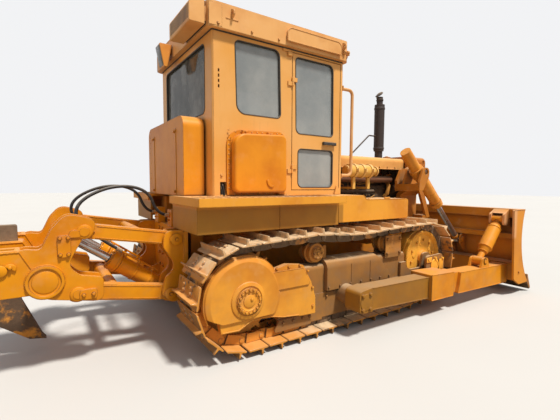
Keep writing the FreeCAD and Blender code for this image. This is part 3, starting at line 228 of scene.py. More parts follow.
world = bpy.data.worlds.new("studio")
bpy.context.scene.world = world
world.use_nodes = True
world_nodes = world.node_tree.nodes
world_links = world.node_tree.links
surround = world_nodes["Background"]
surround.inputs["Color"].default_value = (0.94, 0.96, 1.0, 1)
surround.inputs["Strength"].default_value = 0.42
backdrop = world_nodes.new("ShaderNodeBackground")
backdrop.inputs["Color"].default_value = (0.89, 0.895, 0.91, 1)
rays = world_nodes.new("ShaderNodeLightPath")
seen = rays.outputs["Is Camera Ray"]
for ray in ("Is Glossy Ray", "Is Transmission Ray"):
    either = world_nodes.new("ShaderNodeMath")
    either.operation = "MAXIMUM"
    world_links.new(seen, either.inputs[0])
    world_links.new(rays.outputs[ray], either.inputs[1])
    seen = either.outputs[0]
choice = world_nodes.new("ShaderNodeMixShader")
world_links.new(seen, choice.inputs[0])
world_links.new(surround.outputs[0], choice.inputs[1])
world_links.new(backdrop.outputs[0], choice.inputs[2])
world_links.new(choice.outputs[0], world_nodes["World Output"].inputs["Surface"])

key_data = bpy.data.lights.new("key", "SUN")
key_data.energy = 4.0
key_data.angle = math.radians(7)
key_data.color = (1.0, 0.95, 0.87)
key = bpy.data.objects.new("key", key_data)
key.rotation_mode = "QUATERNION"
key.rotation_quaternion = Vector((0.30, -1.0, 1.95)).to_track_quat("Z", "Y")
bpy.context.scene.collection.objects.link(key)
bpy.context.scene.view_settings.view_transform = "Standard"


# Main frame
# The steering case, frame rails, belly guard and the equalizer bar under the engine are welded plate
# and castings. They were brush painted orange-yellow over old rust, and hold dust on top and mud below.
def worn_paint(name, colour, dust, grime, chips, rough=0.5, painted_shade=None):
    """The last argument is (x, z, colour, share): painted shade, a darker colour laid on what is behind
    that x and below that z. Dust lies on top, grime low down and in corners, and chips show rust."""
    finish = Finish(name)
    edge, rounded = finish.edges(0.010)
    hollow = finish.hollows(0.20)
    fine = finish.noise(38.0, 5.0, 0.65)
    patch = finish.noise(1.7, 4.0, 0.6)
    blotch = finish.noise(7.0, 4.0, 0.6)
    runs = finish.noise(6.0, 4.0, 0.6, (5.0, 5.0, 0.6))
    pale = tuple(min(1.0, 0.86 * part + 0.12) for part in colour)
    deep = (colour[0] * 0.78, colour[1] * 0.64, colour[2] * 0.5)
    paint = finish.mix(patch.between(0.38, 0.72), colour, deep)
    paint = finish.mix(blotch.between(0.5, 0.85) * 0.45, paint, pale)
    paint = finish.mix(runs.between(0.52, 0.75) * 0.4 * grime, paint, deep)
    # Painted shade: the given darker colour laid over the paint behind x and below z.
    if painted_shade:
        shade_x, shade_z, shade_colour, shade_share = painted_shade
        shade_mask = 1 - finish.along("X").between(shade_x - 0.012, shade_x + 0.012)
        shade_mask = shade_mask * (0.75 + blotch * 0.3)
        shade_mask = shade_mask * (1 - finish.height().between(shade_z - 0.02, shade_z + 0.02)) * shade_share
        paint = finish.mix(shade_mask.clamped(), paint, shade_colour)
    dirt_colour = finish.mix(blotch, (0.13, 0.085, 0.045), (0.24, 0.17, 0.10))
    low = 1 - finish.height().between(0.1, 1.3)
    dirt = (hollow.between(0.35, 0.85) + low * 0.45 * blotch.between(0.35, 0.7)).clamped() * grime
    paint = finish.mix(dirt, paint, dirt_colour)
    film = finish.facing_up().between(0.55, 0.95) * (0.35 + patch.between(0.3, 0.7) * 0.65) * dust
    paint = finish.mix(film, paint, (0.58, 0.43, 0.27))
    rust_colour = finish.mix(fine, (0.10, 0.035, 0.015), (0.30, 0.12, 0.04))
    worn = (edge * (0.4 + blotch) + fine * 0.55 + blotch * 0.35 - (1.30 - chips * 0.35)).between(0.0, 0.12)
    paint = finish.mix(worn, paint, rust_colour)
    roughness = (rough + dirt * 0.3 + film * 0.35 + worn * 0.3 + (fine - 0.5) * 0.12).clamped()
    relief = fine * 0.25 + blotch * 0.5 - worn * 0.8
    return finish.end(paint, roughness, 0.0, relief, 0.35, 0.003, rounded, Specular_IOR_Level=0.3)


def dress(material, *names):
    """Gives CAD nodes their finish."""
    for name in names:
        mesh = nodes[name].data
        mesh.materials.clear()
        mesh.materials.append(material)
        mesh.polygons.foreach_set("material_index", [0] * len(mesh.polygons))


frame_orange = (0.70, 0.27, 0.02)
frame_paint = worn_paint("frame paint", frame_orange, 0.9, 1.0, 0.8, 0.6)
dress(frame_paint, "main_frame", "belly_guard", "equalizer_bar")

# Tracks
# Each track is a chain of forged links on pins, with a pressed single-grouser shoe on four bolts a link.
# The steel is muddy, with old orange paint on its sides, pale soil on top and bright worn grouser tips,
# and low faces that look rearward are darkened with painted shade.
# The pieces are drawn on the right side, so to_side is a direction away from the machine there.
to_side = (0, -1, 0)
to_top = (0, 0, 1)
to_front = (1, 0, 0)
to_rear = (-1, 0, 0)
idler_low, idler_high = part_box("idler_right")
idler_behind = 2.720
shaft_x = (idler_low.x + idler_high.x) / 2 - idler_behind
track_y = -1000 * (idler_low.y + idler_high.y) / 2
sharp_over = math.radians(34)


def placed(plane, u, v, level):
    """A point from two measures in a plane named by its axes, and its level across that plane."""
    return Vector({"xz": (u, level, v), "yz": (level, u, v), "xy": (u, v, level)}[plane])


def arc(middle, radius, first, last, count):
    """Points (u, v) round a middle, from one angle to another in degrees; radius is one number or two."""
    wide, high = radius if isinstance(radius, tuple) else (radius, radius)
    turns = [math.radians(first + (last - first) * i / count) for i in range(count + 1)]
    return [(middle[0] + wide * math.cos(turn), middle[1] + high * math.sin(turn)) for turn in turns]


def rounded_outline(corners, steps=5):
    """Outline points (u, v) from corners (u, v, radius)."""
    points = []
    for i, (u, v, radius) in enumerate(corners):
        here = Vector((u, v))
        back = (Vector(corners[i - 1][:2]) - here).normalized()
        on = (Vector(corners[(i + 1) % len(corners)][:2]) - here).normalized()
        half = back.angle(on) / 2
        if radius == 0 or half > math.pi / 2 - 0.01:
            points.append(here)
            continue
        middle = here + (back + on).normalized() * (radius / math.sin(half))
        start = here + back * (radius / math.tan(half)) - middle
        end = here + on * (radius / math.tan(half)) - middle
        for step in range(steps + 1):
            share = step / steps
            points.append(middle + (start * (1 - share) + end * share).normalized() * radius)
    return points


def shrunk(points, by):
    """The same outline, moved inward by a distance, or outward by a negative one."""
    area = sum(a.x * b.y - b.x * a.y for a, b in zip(points, points[1:] + points[:1]))
    turn = by if area > 0 else -by
    moved = []
    for i, here in enumerate(points):
        back = (here - points[i - 1]).normalized()
        on = (points[(i + 1) % len(points)] - here).normalized()
        normal = Vector((-back.y - on.y, back.x + on.x)).normalized()
        share = max(0.35, normal.dot(Vector((-back.y, back.x))))
        moved.append(here + normal * (turn / share))
    return moved


class Workpiece:
    """A piece being made, in millimetres about the sprocket shaft and the ground."""

    def __init__(self):
        self.points = []
        self.faces = []

    def loft(self, rings, round_again=False, capped=True):
        """Skin over rings of equally many points."""
        first = len(self.points)
        count = len(rings[0])
        for ring in rings:
            self.points += [Vector(point) for point in ring]
        for i in range(len(rings) if round_again else len(rings) - 1):
            here = first + i * count
            after = first + (i + 1) % len(rings) * count
            for j in range(count):
                k = (j + 1) % count
                self.faces.append((here + j, here + k, after + k, after + j))
        if capped and not round_again:
            last = first + (len(rings) - 1) * count
            self.faces.append(tuple(range(first, first + count)))
            self.faces.append(tuple(range(last, last + count)))

    def turned(self, profile, centre, along, steps=24, bore=0.0):
        """Round solid about a line; the profile is (distance along, radius). A bore makes it a ring."""
        if bore:
            profile = tuple(profile) + ((profile[-1][0], bore), (profile[0][0], bore))
        centre = Vector(centre)
        along = Vector(along).normalized()
        side = along.orthogonal().normalized()
        across = along.cross(side)
        turns = [2 * math.pi * i / steps for i in range(steps)]
        spokes = [side * math.cos(turn) + across * math.sin(turn) for turn in turns]
        rings = [[centre + along * place + spoke * radius for spoke in spokes] for place, radius in profile]
        self.loft(rings, bore > 0)

    def prism(self, points, plane, low, high, edge=0.0):
        """Flat piece with an outline of (u, v) points, its edges eased."""
        levels = [(low, points), (high, points)]
        if edge:
            small = shrunk(points, edge)
            levels = [(low, small), (low + edge, points), (high - edge, points), (high, small)]
        self.loft([[placed(plane, point.x, point.y, level) for point in ring] for level, ring in levels])

    def block(self, x, y, z, edge=3.0):
        corners = ((x[0], z[0]), (x[1], z[0]), (x[1], z[1]), (x[0], z[1]))
        self.prism([Vector(corner) for corner in corners], "xz", y[0], y[1], edge)

    def bolt(self, place, outward, across=24.0, head=0.55):
        """Hexagon head on a washer."""
        washer = across * 0.12
        top = washer + across * head
        self.turned(((0, across * 0.68), (washer, across * 0.66)), place, outward, 14)
        profile = ((washer, across * 0.56), (top - 2, across * 0.56), (top, across * 0.46))
        self.turned(profile, place, outward, 6)

    def bolts_round(self, count, radius, centre, outward, across=24.0, start=0.0):
        """Ring of bolts about a line along y."""
        for i in range(count):
            turn = start + 2 * math.pi * i / count
            place = Vector(centre) + Vector((math.cos(turn), 0, math.sin(turn))) * radius
            self.bolt(place, outward, across)

    def bolts_about(self, count, radius, centre, along, across):
        """Ring of bolts about any line, facing along it."""
        side = along.orthogonal().normalized()
        for i in range(count):
            turn = 2 * math.pi * i / count
            spoke = side * math.cos(turn) + along.cross(side) * math.sin(turn)
            self.bolt(centre + spoke * radius, along, across)

    def tube(self, points, radius, steps=10, closed=False):
        """Round bar along points; radius is a number, or one number for each point."""
        points = [Vector(point) for point in points]
        side = (points[1] - points[0]).orthogonal().normalized()
        rings = []
        for i, here in enumerate(points):
            before = points[i - 1] if i or closed else here
            after = points[(i + 1) % len(points)] if i < len(points) - 1 or closed else here
            along = (after - before).normalized()
            side = (side - along * side.dot(along)).normalized()
            across = along.cross(side)
            reach = radius[i] if isinstance(radius, list) else radius
            ring = []
            for j in range(steps):
                turn = 2 * math.pi * j / steps
                ring.append(here + (side * math.cos(turn) + across * math.sin(turn)) * reach)
            rings.append(ring)
        self.loft(rings, closed, True)

    def weld(self, points, radius=5.0, step=15.0):
        """Weld bead laid along straight runs, with its ripples."""
        line = []
        for start, end in zip(points, points[1:]):
            start = Vector(start)
            run = Vector(end) - start
            count = max(2, round(run.length / step))
            line += [start + run * (i / count) for i in range(count + (end is points[-1]))]
        swell = [radius * (1 + 0.22 * (i % 2) + welder.uniform(-0.12, 0.12)) for i in range(len(line))]
        self.tube(line, swell, 6)

    def done(self, name, material, body, sides="right", replaced=()):
        """Makes the object, drawn on the right, for sides right, left or both. A piece that bends
        between bodies has no body of its own."""
        points = []
        faces = []
        for side in {"right": (1,), "left": (-1,), "both": (1, -1)}[sides]:
            first = len(points)
            points += [(shaft_x + p.x / 1000, side * p.y / 1000, p.z / 1000) for p in self.points]
            faces += [[first + i for i in face] for face in self.faces]
        mesh = bpy.data.meshes.new(name)
        mesh.from_pydata(points, [], faces)
        shell = bmesh.new()
        shell.from_mesh(mesh)
        bmesh.ops.recalc_face_normals(shell, faces=shell.faces)
        for face in shell.faces:
            face.smooth = True
        for line in shell.edges:
            line.smooth = line.calc_face_angle(0) < sharp_over
        shell.to_mesh(mesh)
        shell.free()
        mesh.materials.append(material)
        piece = bpy.data.objects.new(name, mesh)
        bpy.context.scene.collection.objects.link(piece)
        if body:
            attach(piece, body)
        if replaced:
            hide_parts(*replaced)
        return piece

    def done_each_side(self, name, material, body):
        """One object on the right body and its mirror image on the left one."""
        for side in ("right", "left"):
            self.done(name + "_" + side, material, body + "_" + side, side)


welder = random.Random(4)
shoe_count = 38
shoe_half = 254.0
shoe_corner = 5.0
link_half_gap = 82.5
link_drop = 52.0
link_rise = 38.0
shoe_depth = 115.0
plate_top = 55.0
shaft_z = 544.5
chain_radius = 429.5


def belt_line():
    """The chain's line as (x, z) points, clockwise seen from the right, from the sprocket's foot."""
    front_roller = (2252.0, shoe_depth)
    idler = (2720.0, 600.0)
    idler_radius = 420.0
    carriers = (880.0, 2010.0)
    carrier_top = 1016.0
    sag = 42.0
    rise = math.atan2(idler[1] - front_roller[1], idler[0] - front_roller[0])
    reach = math.hypot(idler[1] - front_roller[1], idler[0] - front_roller[0])
    leave = rise - math.asin(idler_radius / reach)
    line = [(0.0, shoe_depth), front_roller]
    line += arc(idler, idler_radius, math.degrees(leave) - 90, 90, 32)
    for i in range(1, 13):
        share = i / 12
        hang = sag * 4 * share * (1 - share)
        line.append((carriers[1] + (carriers[0] - carriers[1]) * share, carrier_top - hang))
    line += arc((0.0, shaft_z), chain_radius, 90, 270, 32)
    return [Vector(point) for point in line]


def chain_pins():
    """Where the chain's pins lie, evenly spaced along the belt line."""
    line = belt_line()
    runs = [(line[(i + 1) % len(line)] - here).length for i, here in enumerate(line)]
    step = sum(runs) / shoe_count
    pins = []
    passed = 0.0
    i = 0
    for number in range(shoe_count):
        while number * step > passed + runs[i]:
            passed += runs[i]
            i += 1
        share = (number * step - passed) / runs[i]
        pins.append(line[i].lerp(line[(i + 1) % len(line)], share))
    return pins


shoe_profile = (
    (0.025, 44.0), (0.025, 51.0), (0.06, 55.5), (0.60, 55.0), (0.645, 63.0), (0.662, 106.0), (0.682, 114.5),
    (0.712, 114.0), (0.732, 104.0), (0.748, 63.0), (0.79, 55.0), (0.94, 54.0), (0.983, 49.0), (0.983, 42.0),
    (0.93, 38.5), (0.06, 38.0),
)
shoe_stations = (
    -shoe_half, -shoe_half + shoe_corner, -215.0, -130.0, -40.0, 50.0, 135.0, 215.0,
    shoe_half - shoe_corner, shoe_half,
)
shoe_bolt_shares = (0.24, 0.47)
pin_radius = 20.0
bushing_radius = 31.0
walker = random.Random(11)
shoes = Workpiece()
chain = Workpiece()
pins = chain_pins()
for number, pin in enumerate(pins):
    span = pins[(number + 1) % shoe_count] - pin
    pitch = span.length
    along = span.normalized()
    out = Vector((along.y, -along.x))

    def on_link(share, rise, y):
        point = pin + along * (share * pitch) + out * rise
        return Vector((point.x, -track_y + y, point.y))

    rings = []
    for place, y in enumerate(shoe_stations):
        at_end = place in (0, len(shoe_stations) - 1)
        tip = 1 - walker.uniform(0.0, 0.09) - (0.16 if at_end else 0.0)
        draw = 0.965 if at_end else 1.0
        ring = []
        for share, rise in shoe_profile:
            grown = plate_top + (rise - plate_top) * tip if rise > plate_top + 1 else rise
            ring.append(on_link(0.5 + (share - 0.5) * draw, grown, y))
        rings.append(ring)
    shoes.loft(rings)
    facing = Vector((out.x, 0, out.y))
    for side in (-1, 1):
        for share in shoe_bolt_shares:
            shoes.bolt(on_link(share, plate_top, side * link_half_gap), facing, 29)
    low = -link_drop
    high = link_rise
    inner_half = (
        (-36, -high, 34), (-36, high - 1, 30), (0.6 * pitch, high, 0), (0.6 * pitch, low, 0), (24, low, 12),
    )
    outer_half = (
        (0.4 * pitch, high, 0), (pitch + 36, high - 1, 30), (pitch + 36, -high, 34), (pitch - 24, low, 12),
        (0.4 * pitch, low, 0),
    )
    waist = ((0.24 * pitch, high, 0), (0.76 * pitch, high, 0), (0.7 * pitch, low, 0), (0.3 * pitch, low, 0))
    for side in (-1, 1):
        for corners, inner, outer in (
            (inner_half, -22.0, 0.0),
            (outer_half, 0.5, 22.0),
            (waist, -22.5, 22.5),
        ):
            levels = []
            for y, ease in ((inner, 3.0), (inner + 3, 0.0), (outer - 3, 0.0), (outer, 3.0)):
                outline = rounded_outline(corners, 4)
                ring = shrunk(outline, ease) if ease else outline
                levels.append([on_link(p.x / pitch, p.y, side * (link_half_gap + y)) for p in ring])
            chain.loft(levels)
    middle = on_link(0, 0, 0)
    chain.turned(((-113, 15), (-111, pin_radius), (111, pin_radius), (113, 15)), middle, (0, 1, 0), 14)
    chain.turned(((-59, bushing_radius), (59, bushing_radius)), middle, (0, 1, 0), 16)


rear_paint_x = shaft_x + 0.45


def track_steel(name, paint_left, polish, soiled=1.0):
    """Muddy steel with old paint, mostly on what faces sideways near the rear."""
    finish = Finish(name)
    edge, rounded = finish.edges(0.008)
    hollow = finish.hollows(0.12)
    fine = finish.noise(45.0, 5.0, 0.7)
    blotch = finish.noise(9.0, 4.0, 0.6)
    patch = finish.noise(2.2, 3.0, 0.6)
    steel = finish.mix(fine, (0.075, 0.045, 0.028), (0.17, 0.105, 0.062))
    old_paint = finish.mix(blotch, (0.58, 0.22, 0.025), (0.80, 0.34, 0.045))
    behind = 1 - finish.along("X").between(rear_paint_x, rear_paint_x + 0.5)
    sideways = finish.facing("Y")
    open_face = (sideways * sideways + finish.facing_up()).between(0.4, 0.8)
    painted = behind * (1 - finish.height().between(0.55, 1.05)) * open_face
    kept = (patch + blotch + painted * 0.75 - (1.18 - paint_left * 0.55)).between(0.0, 0.16)
    colour = finish.mix(kept, steel, old_paint)
    mud = finish.mix(fine, (0.25, 0.165, 0.095), (0.46, 0.32, 0.20))
    packed = hollow.between(0.25, 0.7) * blotch.between(0.3, 0.6)
    packed = (packed + blotch.between(0.56, 0.75) * 0.7).clamped()
    colour = finish.mix(packed * (0.85 - painted * 0.8), colour, mud)
    top = finish.facing_up().between(0.35, 0.9)
    soil = finish.mix(fine, (0.56, 0.40, 0.23), (0.86, 0.66, 0.42))
    upper = finish.height().between(0.70, 0.95)
    top = (top + upper * 0.6).clamped() * (1 - painted * 0.85)
    colour = finish.mix(top * (0.5 + blotch.between(0.3, 0.6) * 0.5) * soiled, colour, soil)
    # Painted shade: faces that look rearward are darkened low down.
    trailing = 1 - finish.facing("X").between(-0.8, -0.3)
    painted_rear_shade = trailing * (1 - finish.height().between(0.35, 0.85)) * 0.6
    colour = finish.mix(painted_rear_shade, colour, (0.11, 0.065, 0.03))
    rubbed = ((edge * 1.2 + fine * 0.5 - 0.95).between(0.0, 0.25)) * polish
    colour = finish.mix(rubbed, colour, (0.42, 0.33, 0.26))
    roughness = (0.82 - rubbed * 0.38 - kept * 0.12 + packed * 0.1).clamped()
    relief = fine * 0.8 + blotch * 0.8 + packed * 0.6
    return finish.end(colour, roughness, rubbed * 0.7, relief, 0.6, 0.004, rounded)


shoe_steel = track_steel("shoe steel", 0.75, 1.0)
chain_steel = track_steel("chain steel", 0.15, 0.4, 0.25)
for side in ("right", "left"):
    shoes.done("track_shoes_" + side, shoe_steel, "root", side, ("track_" + side,))
    chain.done("track_chain_" + side, chain_steel, "root", side)

# Sprockets and their guards
# A toothed wheel turns inside each chain. A pressed cover is bolted over it outside, with the final
# drive's outer bearing in a bolted hub, a plate ahead of it and an open arch below.
guard_orange = (0.86, 0.37, 0.04)
guard_paint = worn_paint("guard paint", guard_orange, 0.35, 0.4, 0.4, 0.45)
dress(guard_paint, "sprocket_guard_right", "sprocket_guard_left", "sprocket_right", "sprocket_left")
guard_face = -track_y - 212
hub_x = 18.0
hub_z = shaft_z - 22
hub_bolts = 16
trim = Workpiece()
trim.bolts_round(hub_bolts, 103, (hub_x, guard_face - 30, hub_z), to_side, 21)
trim.turned(((0, 62), (4, 60), (9, 50), (10, 0.5)), (hub_x, guard_face - 24, hub_z), to_side, 32)
trim.turned(((0, 14), (9, 14), (11, 11)), (hub_x + 20, guard_face - 33, hub_z + 16), to_side, 6)
drum_radius = 389.0
drum_rim = arc((0, shaft_z - 15), drum_radius, -26, 206, 48)
trim.tube([(x, guard_face + 40, z) for x, z in drum_rim], 6.5, 8)
plate_level = guard_face + 18
ridge_line = ((250, 700), (300, 737), (640, 737))
trim.weld([(x, plate_level - 10, z) for x, z in ridge_line], 4.5)
for x, z in ((330, 765), (470, 768), (600, 765), (770, 330), (762, 520), (700, 700)):
    trim.bolt((x, plate_level, z), to_side, 24)
lower_lip = ((-225, 268), (-65, 260), (60, 320), (220, 330), (420, 285), (600, 268))
trim.weld([(x, plate_level, z) for x, z in lower_lip], 5.5)
trim.done("sprocket_guard_fixings", guard_paint, "root", "both")

# Roller frames, rollers and idlers
# A box frame hangs each row of rollers, with guard plates along its foot, a bolted cover over the
# recoil spring, and the idler in a fork with a bolted bearing plate. All of it is dusty and muddy, and
# the frames' lower parts are darkened with painted shade.
# The frames' orange is darker and duller than the other paint.
dull_dark_orange = (0.54, 0.24, 0.05)
# Painted shade darkens the roller frames below 0.74 m.
frame_painted_shade = (rear_paint_x + 4.0, 0.74, (0.20, 0.10, 0.035), 0.6)
roller_frame_paint = worn_paint("roller frame paint", dull_dark_orange, 1.0, 1.0, 0.9, 0.66, frame_painted_shade)
idler_orange = (0.98, 0.50, 0.06)
idler_paint = worn_paint("idler paint", idler_orange, 0.3, 0.15, 0.7, 0.5)
roller_paint = worn_paint("roller paint", (0.68, 0.29, 0.05), 0.7, 0.8, 0.8, 0.6)
dress(roller_frame_paint, "roller_frame_right", "roller_frame_left")
dress(roller_paint, "rollers_right", "rollers_left")
dress(idler_paint, "idler_right", "idler_left")
frame_out = -track_y - 120
carrier_axles = (880, 2010)
carrier_z = 846
idler_x = 1000 * idler_behind
idler_z = 600
fixings = Workpiece()
for x in range(1010, 2300, 180):
    fixings.bolt((x, frame_out - 8, 372), to_side, 26)
for x in (440, 560, 680, 770):
    fixings.bolt((x, frame_out - 26, 205), to_side, 24)
for x in range(1010, 1980, 160):
    fixings.bolt((x, frame_out - 45, 470), to_side, 20)
for x, z in ((1945, 905), (2170, 905), (1945, 735), (2170, 735)):
    fixings.bolt((x, -track_y - 152, z), to_side, 30)
fixings.weld(((985, frame_out - 47, 440), (985, frame_out - 47, 690)), 5)
fixings.weld(((1010, frame_out - 10, 412), (2240, frame_out - 10, 412)), 5)
for x in (1340, 1640):
    fixings.weld(((x, frame_out - 46, 455), (x, frame_out - 46, 690)), 4)
for x in carrier_axles:
    hub = (x, -track_y - 138, carrier_z)
    fixings.turned(((0, 66), (3, 66), (6, 58), (6, 46), (2, 42), (2, 0.5)), hub, to_side, 28)
    fixings.bolts_round(6, 52, (x, -track_y - 144, carrier_z), to_side, 15)
    fixings.turned(((0, 18), (7, 17), (8, 12)), (x, -track_y - 140, carrier_z), to_side, 6)
fixings.done("roller_frame_fixings", roller_frame_paint, "root", "both")

bearing = Workpiece()
plate_y = -track_y - 250
for x, z in ((2625, 600), (2770, 610), (2930, 590), (2625, 430), (2790, 425), (2945, 430)):
    bearing.bolt((x, plate_y, z), to_side, 34)
bearing_cap = ((0, 84), (8, 84), (12, 76), (12, 62), (7, 58), (7, 0.5))
bearing.turned(bearing_cap, (2765, plate_y, 516), to_side, 32)
bearing.block((2585, 2690), (plate_y - 14, plate_y), (560, 628), 6)
bearing.block((2850, 2950), (plate_y - 12, plate_y), (440, 590), 8)
disc_y = -track_y - 92
disc_plugs = 5
bearing.bolts_round(10, 228, (idler_x, disc_y + 3, idler_z), to_side, 26, 0.2)
for plug in range(disc_plugs):
    lean = 2 * math.pi * plug / disc_plugs + 0.5
    middle = Vector((idler_x, disc_y + 4, idler_z)) + Vector((math.cos(lean), 0, math.sin(lean))) * 175
    bearing.turned(((0, 24), (5, 24), (7, 18), (7, 0.5)), middle, to_side, 18)
crust = []
for step in range(72):
    turn = 2 * math.pi * step / 72
    reach = 338 + welder.uniform(-5, 6)
    crust.append((idler_x + reach * math.cos(turn), -track_y - 104, idler_z + reach * math.sin(turn)))
bearing.tube(crust, [welder.uniform(7, 13) for _ in crust], 6, True)
bearing.done("idler_fixings", idler_paint, "root", "both")

# Push arms and tilt braces
# Box-section arms run outside the tracks from a bearing on the roller frame to the blade's foot, with
# a screw brace from lugs on each arm up to the blade. Plates are joined by weld beads laid by hand.
arm_orange = (0.82, 0.31, 0.012)
# Painted shade: the arms' rear part, behind the step to the front box, is darkened.
arm_painted_shade = (shaft_x + 2.262, 9.0, (0.19, 0.105, 0.02), 0.8)
arm_paint = worn_paint("arm paint", arm_orange, 0.4, 0.3, 0.4, 0.5, arm_painted_shade)
dress(arm_paint, "push_arm_right", "push_arm_left", "tilt_braces")
arm_outer = -1500.0
arm_step = 40.0
arm_step_x = 2262
arm_end_x = 4084
arm = Workpiece()
stepped = arm_outer - arm_step
for line in (
    ((arm_step_x, stepped + 1, 215), (arm_step_x, stepped + 1, 500)),
    ((arm_step_x + 2, stepped + 2, 509), (2718, stepped + 2, 490)),
    ((arm_step_x + 2, stepped + 2, 206), (2718, stepped + 2, 196)),
    ((2890, stepped + 2, 463), (arm_end_x, stepped + 2, 428)),
    ((2830, stepped + 2, 205), (arm_end_x, stepped + 2, 163)),
    ((1305, arm_outer + 2, 501), (arm_step_x, arm_outer + 2, 478)),
    ((1305, arm_outer + 2, 277), (arm_step_x, arm_outer + 2, 232)),
    ((arm_end_x + 2, stepped + 1, 170), (arm_end_x + 2, stepped + 1, 425)),
):
    arm.weld(line, 5.5)
for z in (300, 450):
    for x in (1150, 1255):
        arm.bolt((x, arm_outer - 8, z), to_side, 34)
arm.turned(((0, 88), (5, 86), (6, 74), (6, 0.5)), (1205, arm_outer - 8, 375), to_side, 32)
brace_y = -1440.0
brace_foot = Vector((3480, brace_y, 530))
brace_run = Vector((3990, brace_y, 1075)) - brace_foot
for low, high in ((-1532, -1508), (-1378, -1354)):
    arm.turned(((0, 46), (low - high, 46)), (brace_foot.x, high, brace_foot.z), (0, 1, 0), 24)
for share, radius in ((0.205, 60), (0.30, 91), (0.76, 91), (0.84, 64)):
    collar = ((-7, radius), (-4, radius + 4), (4, radius + 4), (7, radius))
    arm.turned(collar, brace_foot + brace_run * share, brace_run, 28)
for thread in range(11):
    share = 0.865 + thread * 0.008
    arm.turned(((-2, 43), (0, 46), (2, 43)), brace_foot + brace_run * share, brace_run, 20)
arm.done("push_arm_fixings", arm_paint, "blade_body", "both")

# Blade
# A curved mouldboard with a box beam across its back and square end plates. Its lower face is scoured
# by earth, and a steel cutting edge is held along the foot by a row of flush bolts.
blade_orange = (0.80, 0.30, 0.02)


def blade_finish():
    finish = Finish("blade paint")
    edge, rounded = finish.edges(0.010)
    hollow = finish.hollows(0.25)
    fine = finish.noise(40.0, 5.0, 0.65)
    patch = finish.noise(1.5, 4.0, 0.6)
    blotch = finish.noise(6.0, 4.0, 0.6)
    scratch = finish.noise(22.0, 3.0, 0.7, (0.4, 0.5, 4.0))
    paint = finish.mix(patch.between(0.35, 0.7), blade_orange, (0.62, 0.22, 0.03))
    paint = finish.mix(blotch.between(0.55, 0.8) * 0.4, paint, (0.88, 0.46, 0.16))
    dirt = (hollow.between(0.3, 0.85) * 0.85).clamped()
    paint = finish.mix(dirt, paint, finish.mix(blotch, (0.11, 0.06, 0.03), (0.22, 0.13, 0.07)))
    film = finish.facing_up().between(0.6, 0.95) * (0.3 + patch.between(0.3, 0.7) * 0.5)
    paint = finish.mix(film, paint, (0.60, 0.44, 0.28))
    forward = finish.facing("X").between(0.35, 0.7)
    ahead_of = finish.along("X").between(2.70, 2.76)
    low = 1 - finish.height().between(0.35, 1.15)
    scoured = (forward * ahead_of * (low * 1.1 + blotch * 0.75 - 0.45)).between(0.1, 0.4)
    steel = finish.mix(scratch, (0.16, 0.10, 0.07), (0.34, 0.25, 0.19))
    steel = finish.mix(blotch.between(0.5, 0.7) * 0.7, steel, (0.33, 0.13, 0.05))
    colour = finish.mix(scoured, paint, steel)
    # Painted light: the upper back of the blade, above about 0.83 m, is made paler.
    painted_light_top = finish.height().between(0.80, 0.86) * (1 - ahead_of) * 0.7
    colour = finish.mix(painted_light_top, colour, (0.86, 0.46, 0.22))
    worn = (edge * (0.4 + blotch) + fine * 0.55 + blotch * 0.3 - 1.05).between(0.0, 0.12)
    colour = finish.mix(worn, colour, finish.mix(fine, (0.12, 0.05, 0.025), (0.30, 0.14, 0.06)))
    roughness = (0.48 + dirt * 0.3 + film * 0.3 + worn * 0.25 + scratch * scoured * 0.1).clamped()
    relief = fine * 0.25 + blotch * 0.4 + scratch * scoured * 0.4 - worn * 0.6
    return finish.end(colour, roughness, scoured * 0.55, relief, 0.35, 0.003, rounded,
                      Specular_IOR_Level=0.3)


blade_paint = blade_finish()
edge_steel = track_steel("cutting edge steel", 0.1, 1.0, 0.25)
bit_steel = worn_paint("end bit paint", (0.50, 0.20, 0.04), 0.6, 1.0, 1.4, 0.6)
dress(blade_paint, "blade")
dress(edge_steel, "cutting_edge")
blade_half = 1680.0
lift_y = -790.0
lift_eye = Vector((4065, lift_y, 700))
beads = Workpiece()
for side in (-1, 1):
    y = side * (blade_half - 30)
    for low_x, high_x, z in ((4062, 4180, 1108), (4052, 4190, 872), (4052, 4190, 798)):
        beads.weld(((low_x, y, z), (high_x, y, z)), 6)
    beads.weld(((3925, side * (blade_half + 0.5), 1218), (4230, side * (blade_half + 0.5), 1218)), 4)
    for ear_y in (-brace_y - 105, -brace_y + 105):
        beads.weld(((4062, side * ear_y, 1108), (4070, side * ear_y, 970)), 6)
    for ear_y in (-lift_y - 92, -lift_y + 92):
        beads.weld(((4195, side * ear_y, 860), (4195, side * ear_y, 480)), 6)
    beads.bolt((4120, side * blade_half, 330), (0, side, 0), 26)
    pin_end = (lift_eye.x, side * (90 - lift_y), lift_eye.z)
    beads.turned(((0, 52), (14, 50), (16, 44)), pin_end, (0, side, 0), 24)
for x, z in ((4060, 1108), (4050, 872), (4088, 442)):
    beads.weld(((x, 25 - blade_half, z), (x, blade_half - 25, z)), 6, 22)
beads.done("blade_weld_beads", blade_paint, "blade_body")
edge_bolts = Workpiece()
edge_bolt_step = 128
edge_face = Vector((0.72, 0, 0.69))
for i in range(26):
    y = -1600 + edge_bolt_step * i
    edge_bolts.turned(((-2, 19), (2, 19), (4, 16), (4, 0.5)), (4455, y, 122), edge_face, 16)
    edge_bolts.bolt((4401, y, 118), -edge_face, 26)
edge_bolts.done("cutting_edge_bolts", edge_steel, "blade_body")
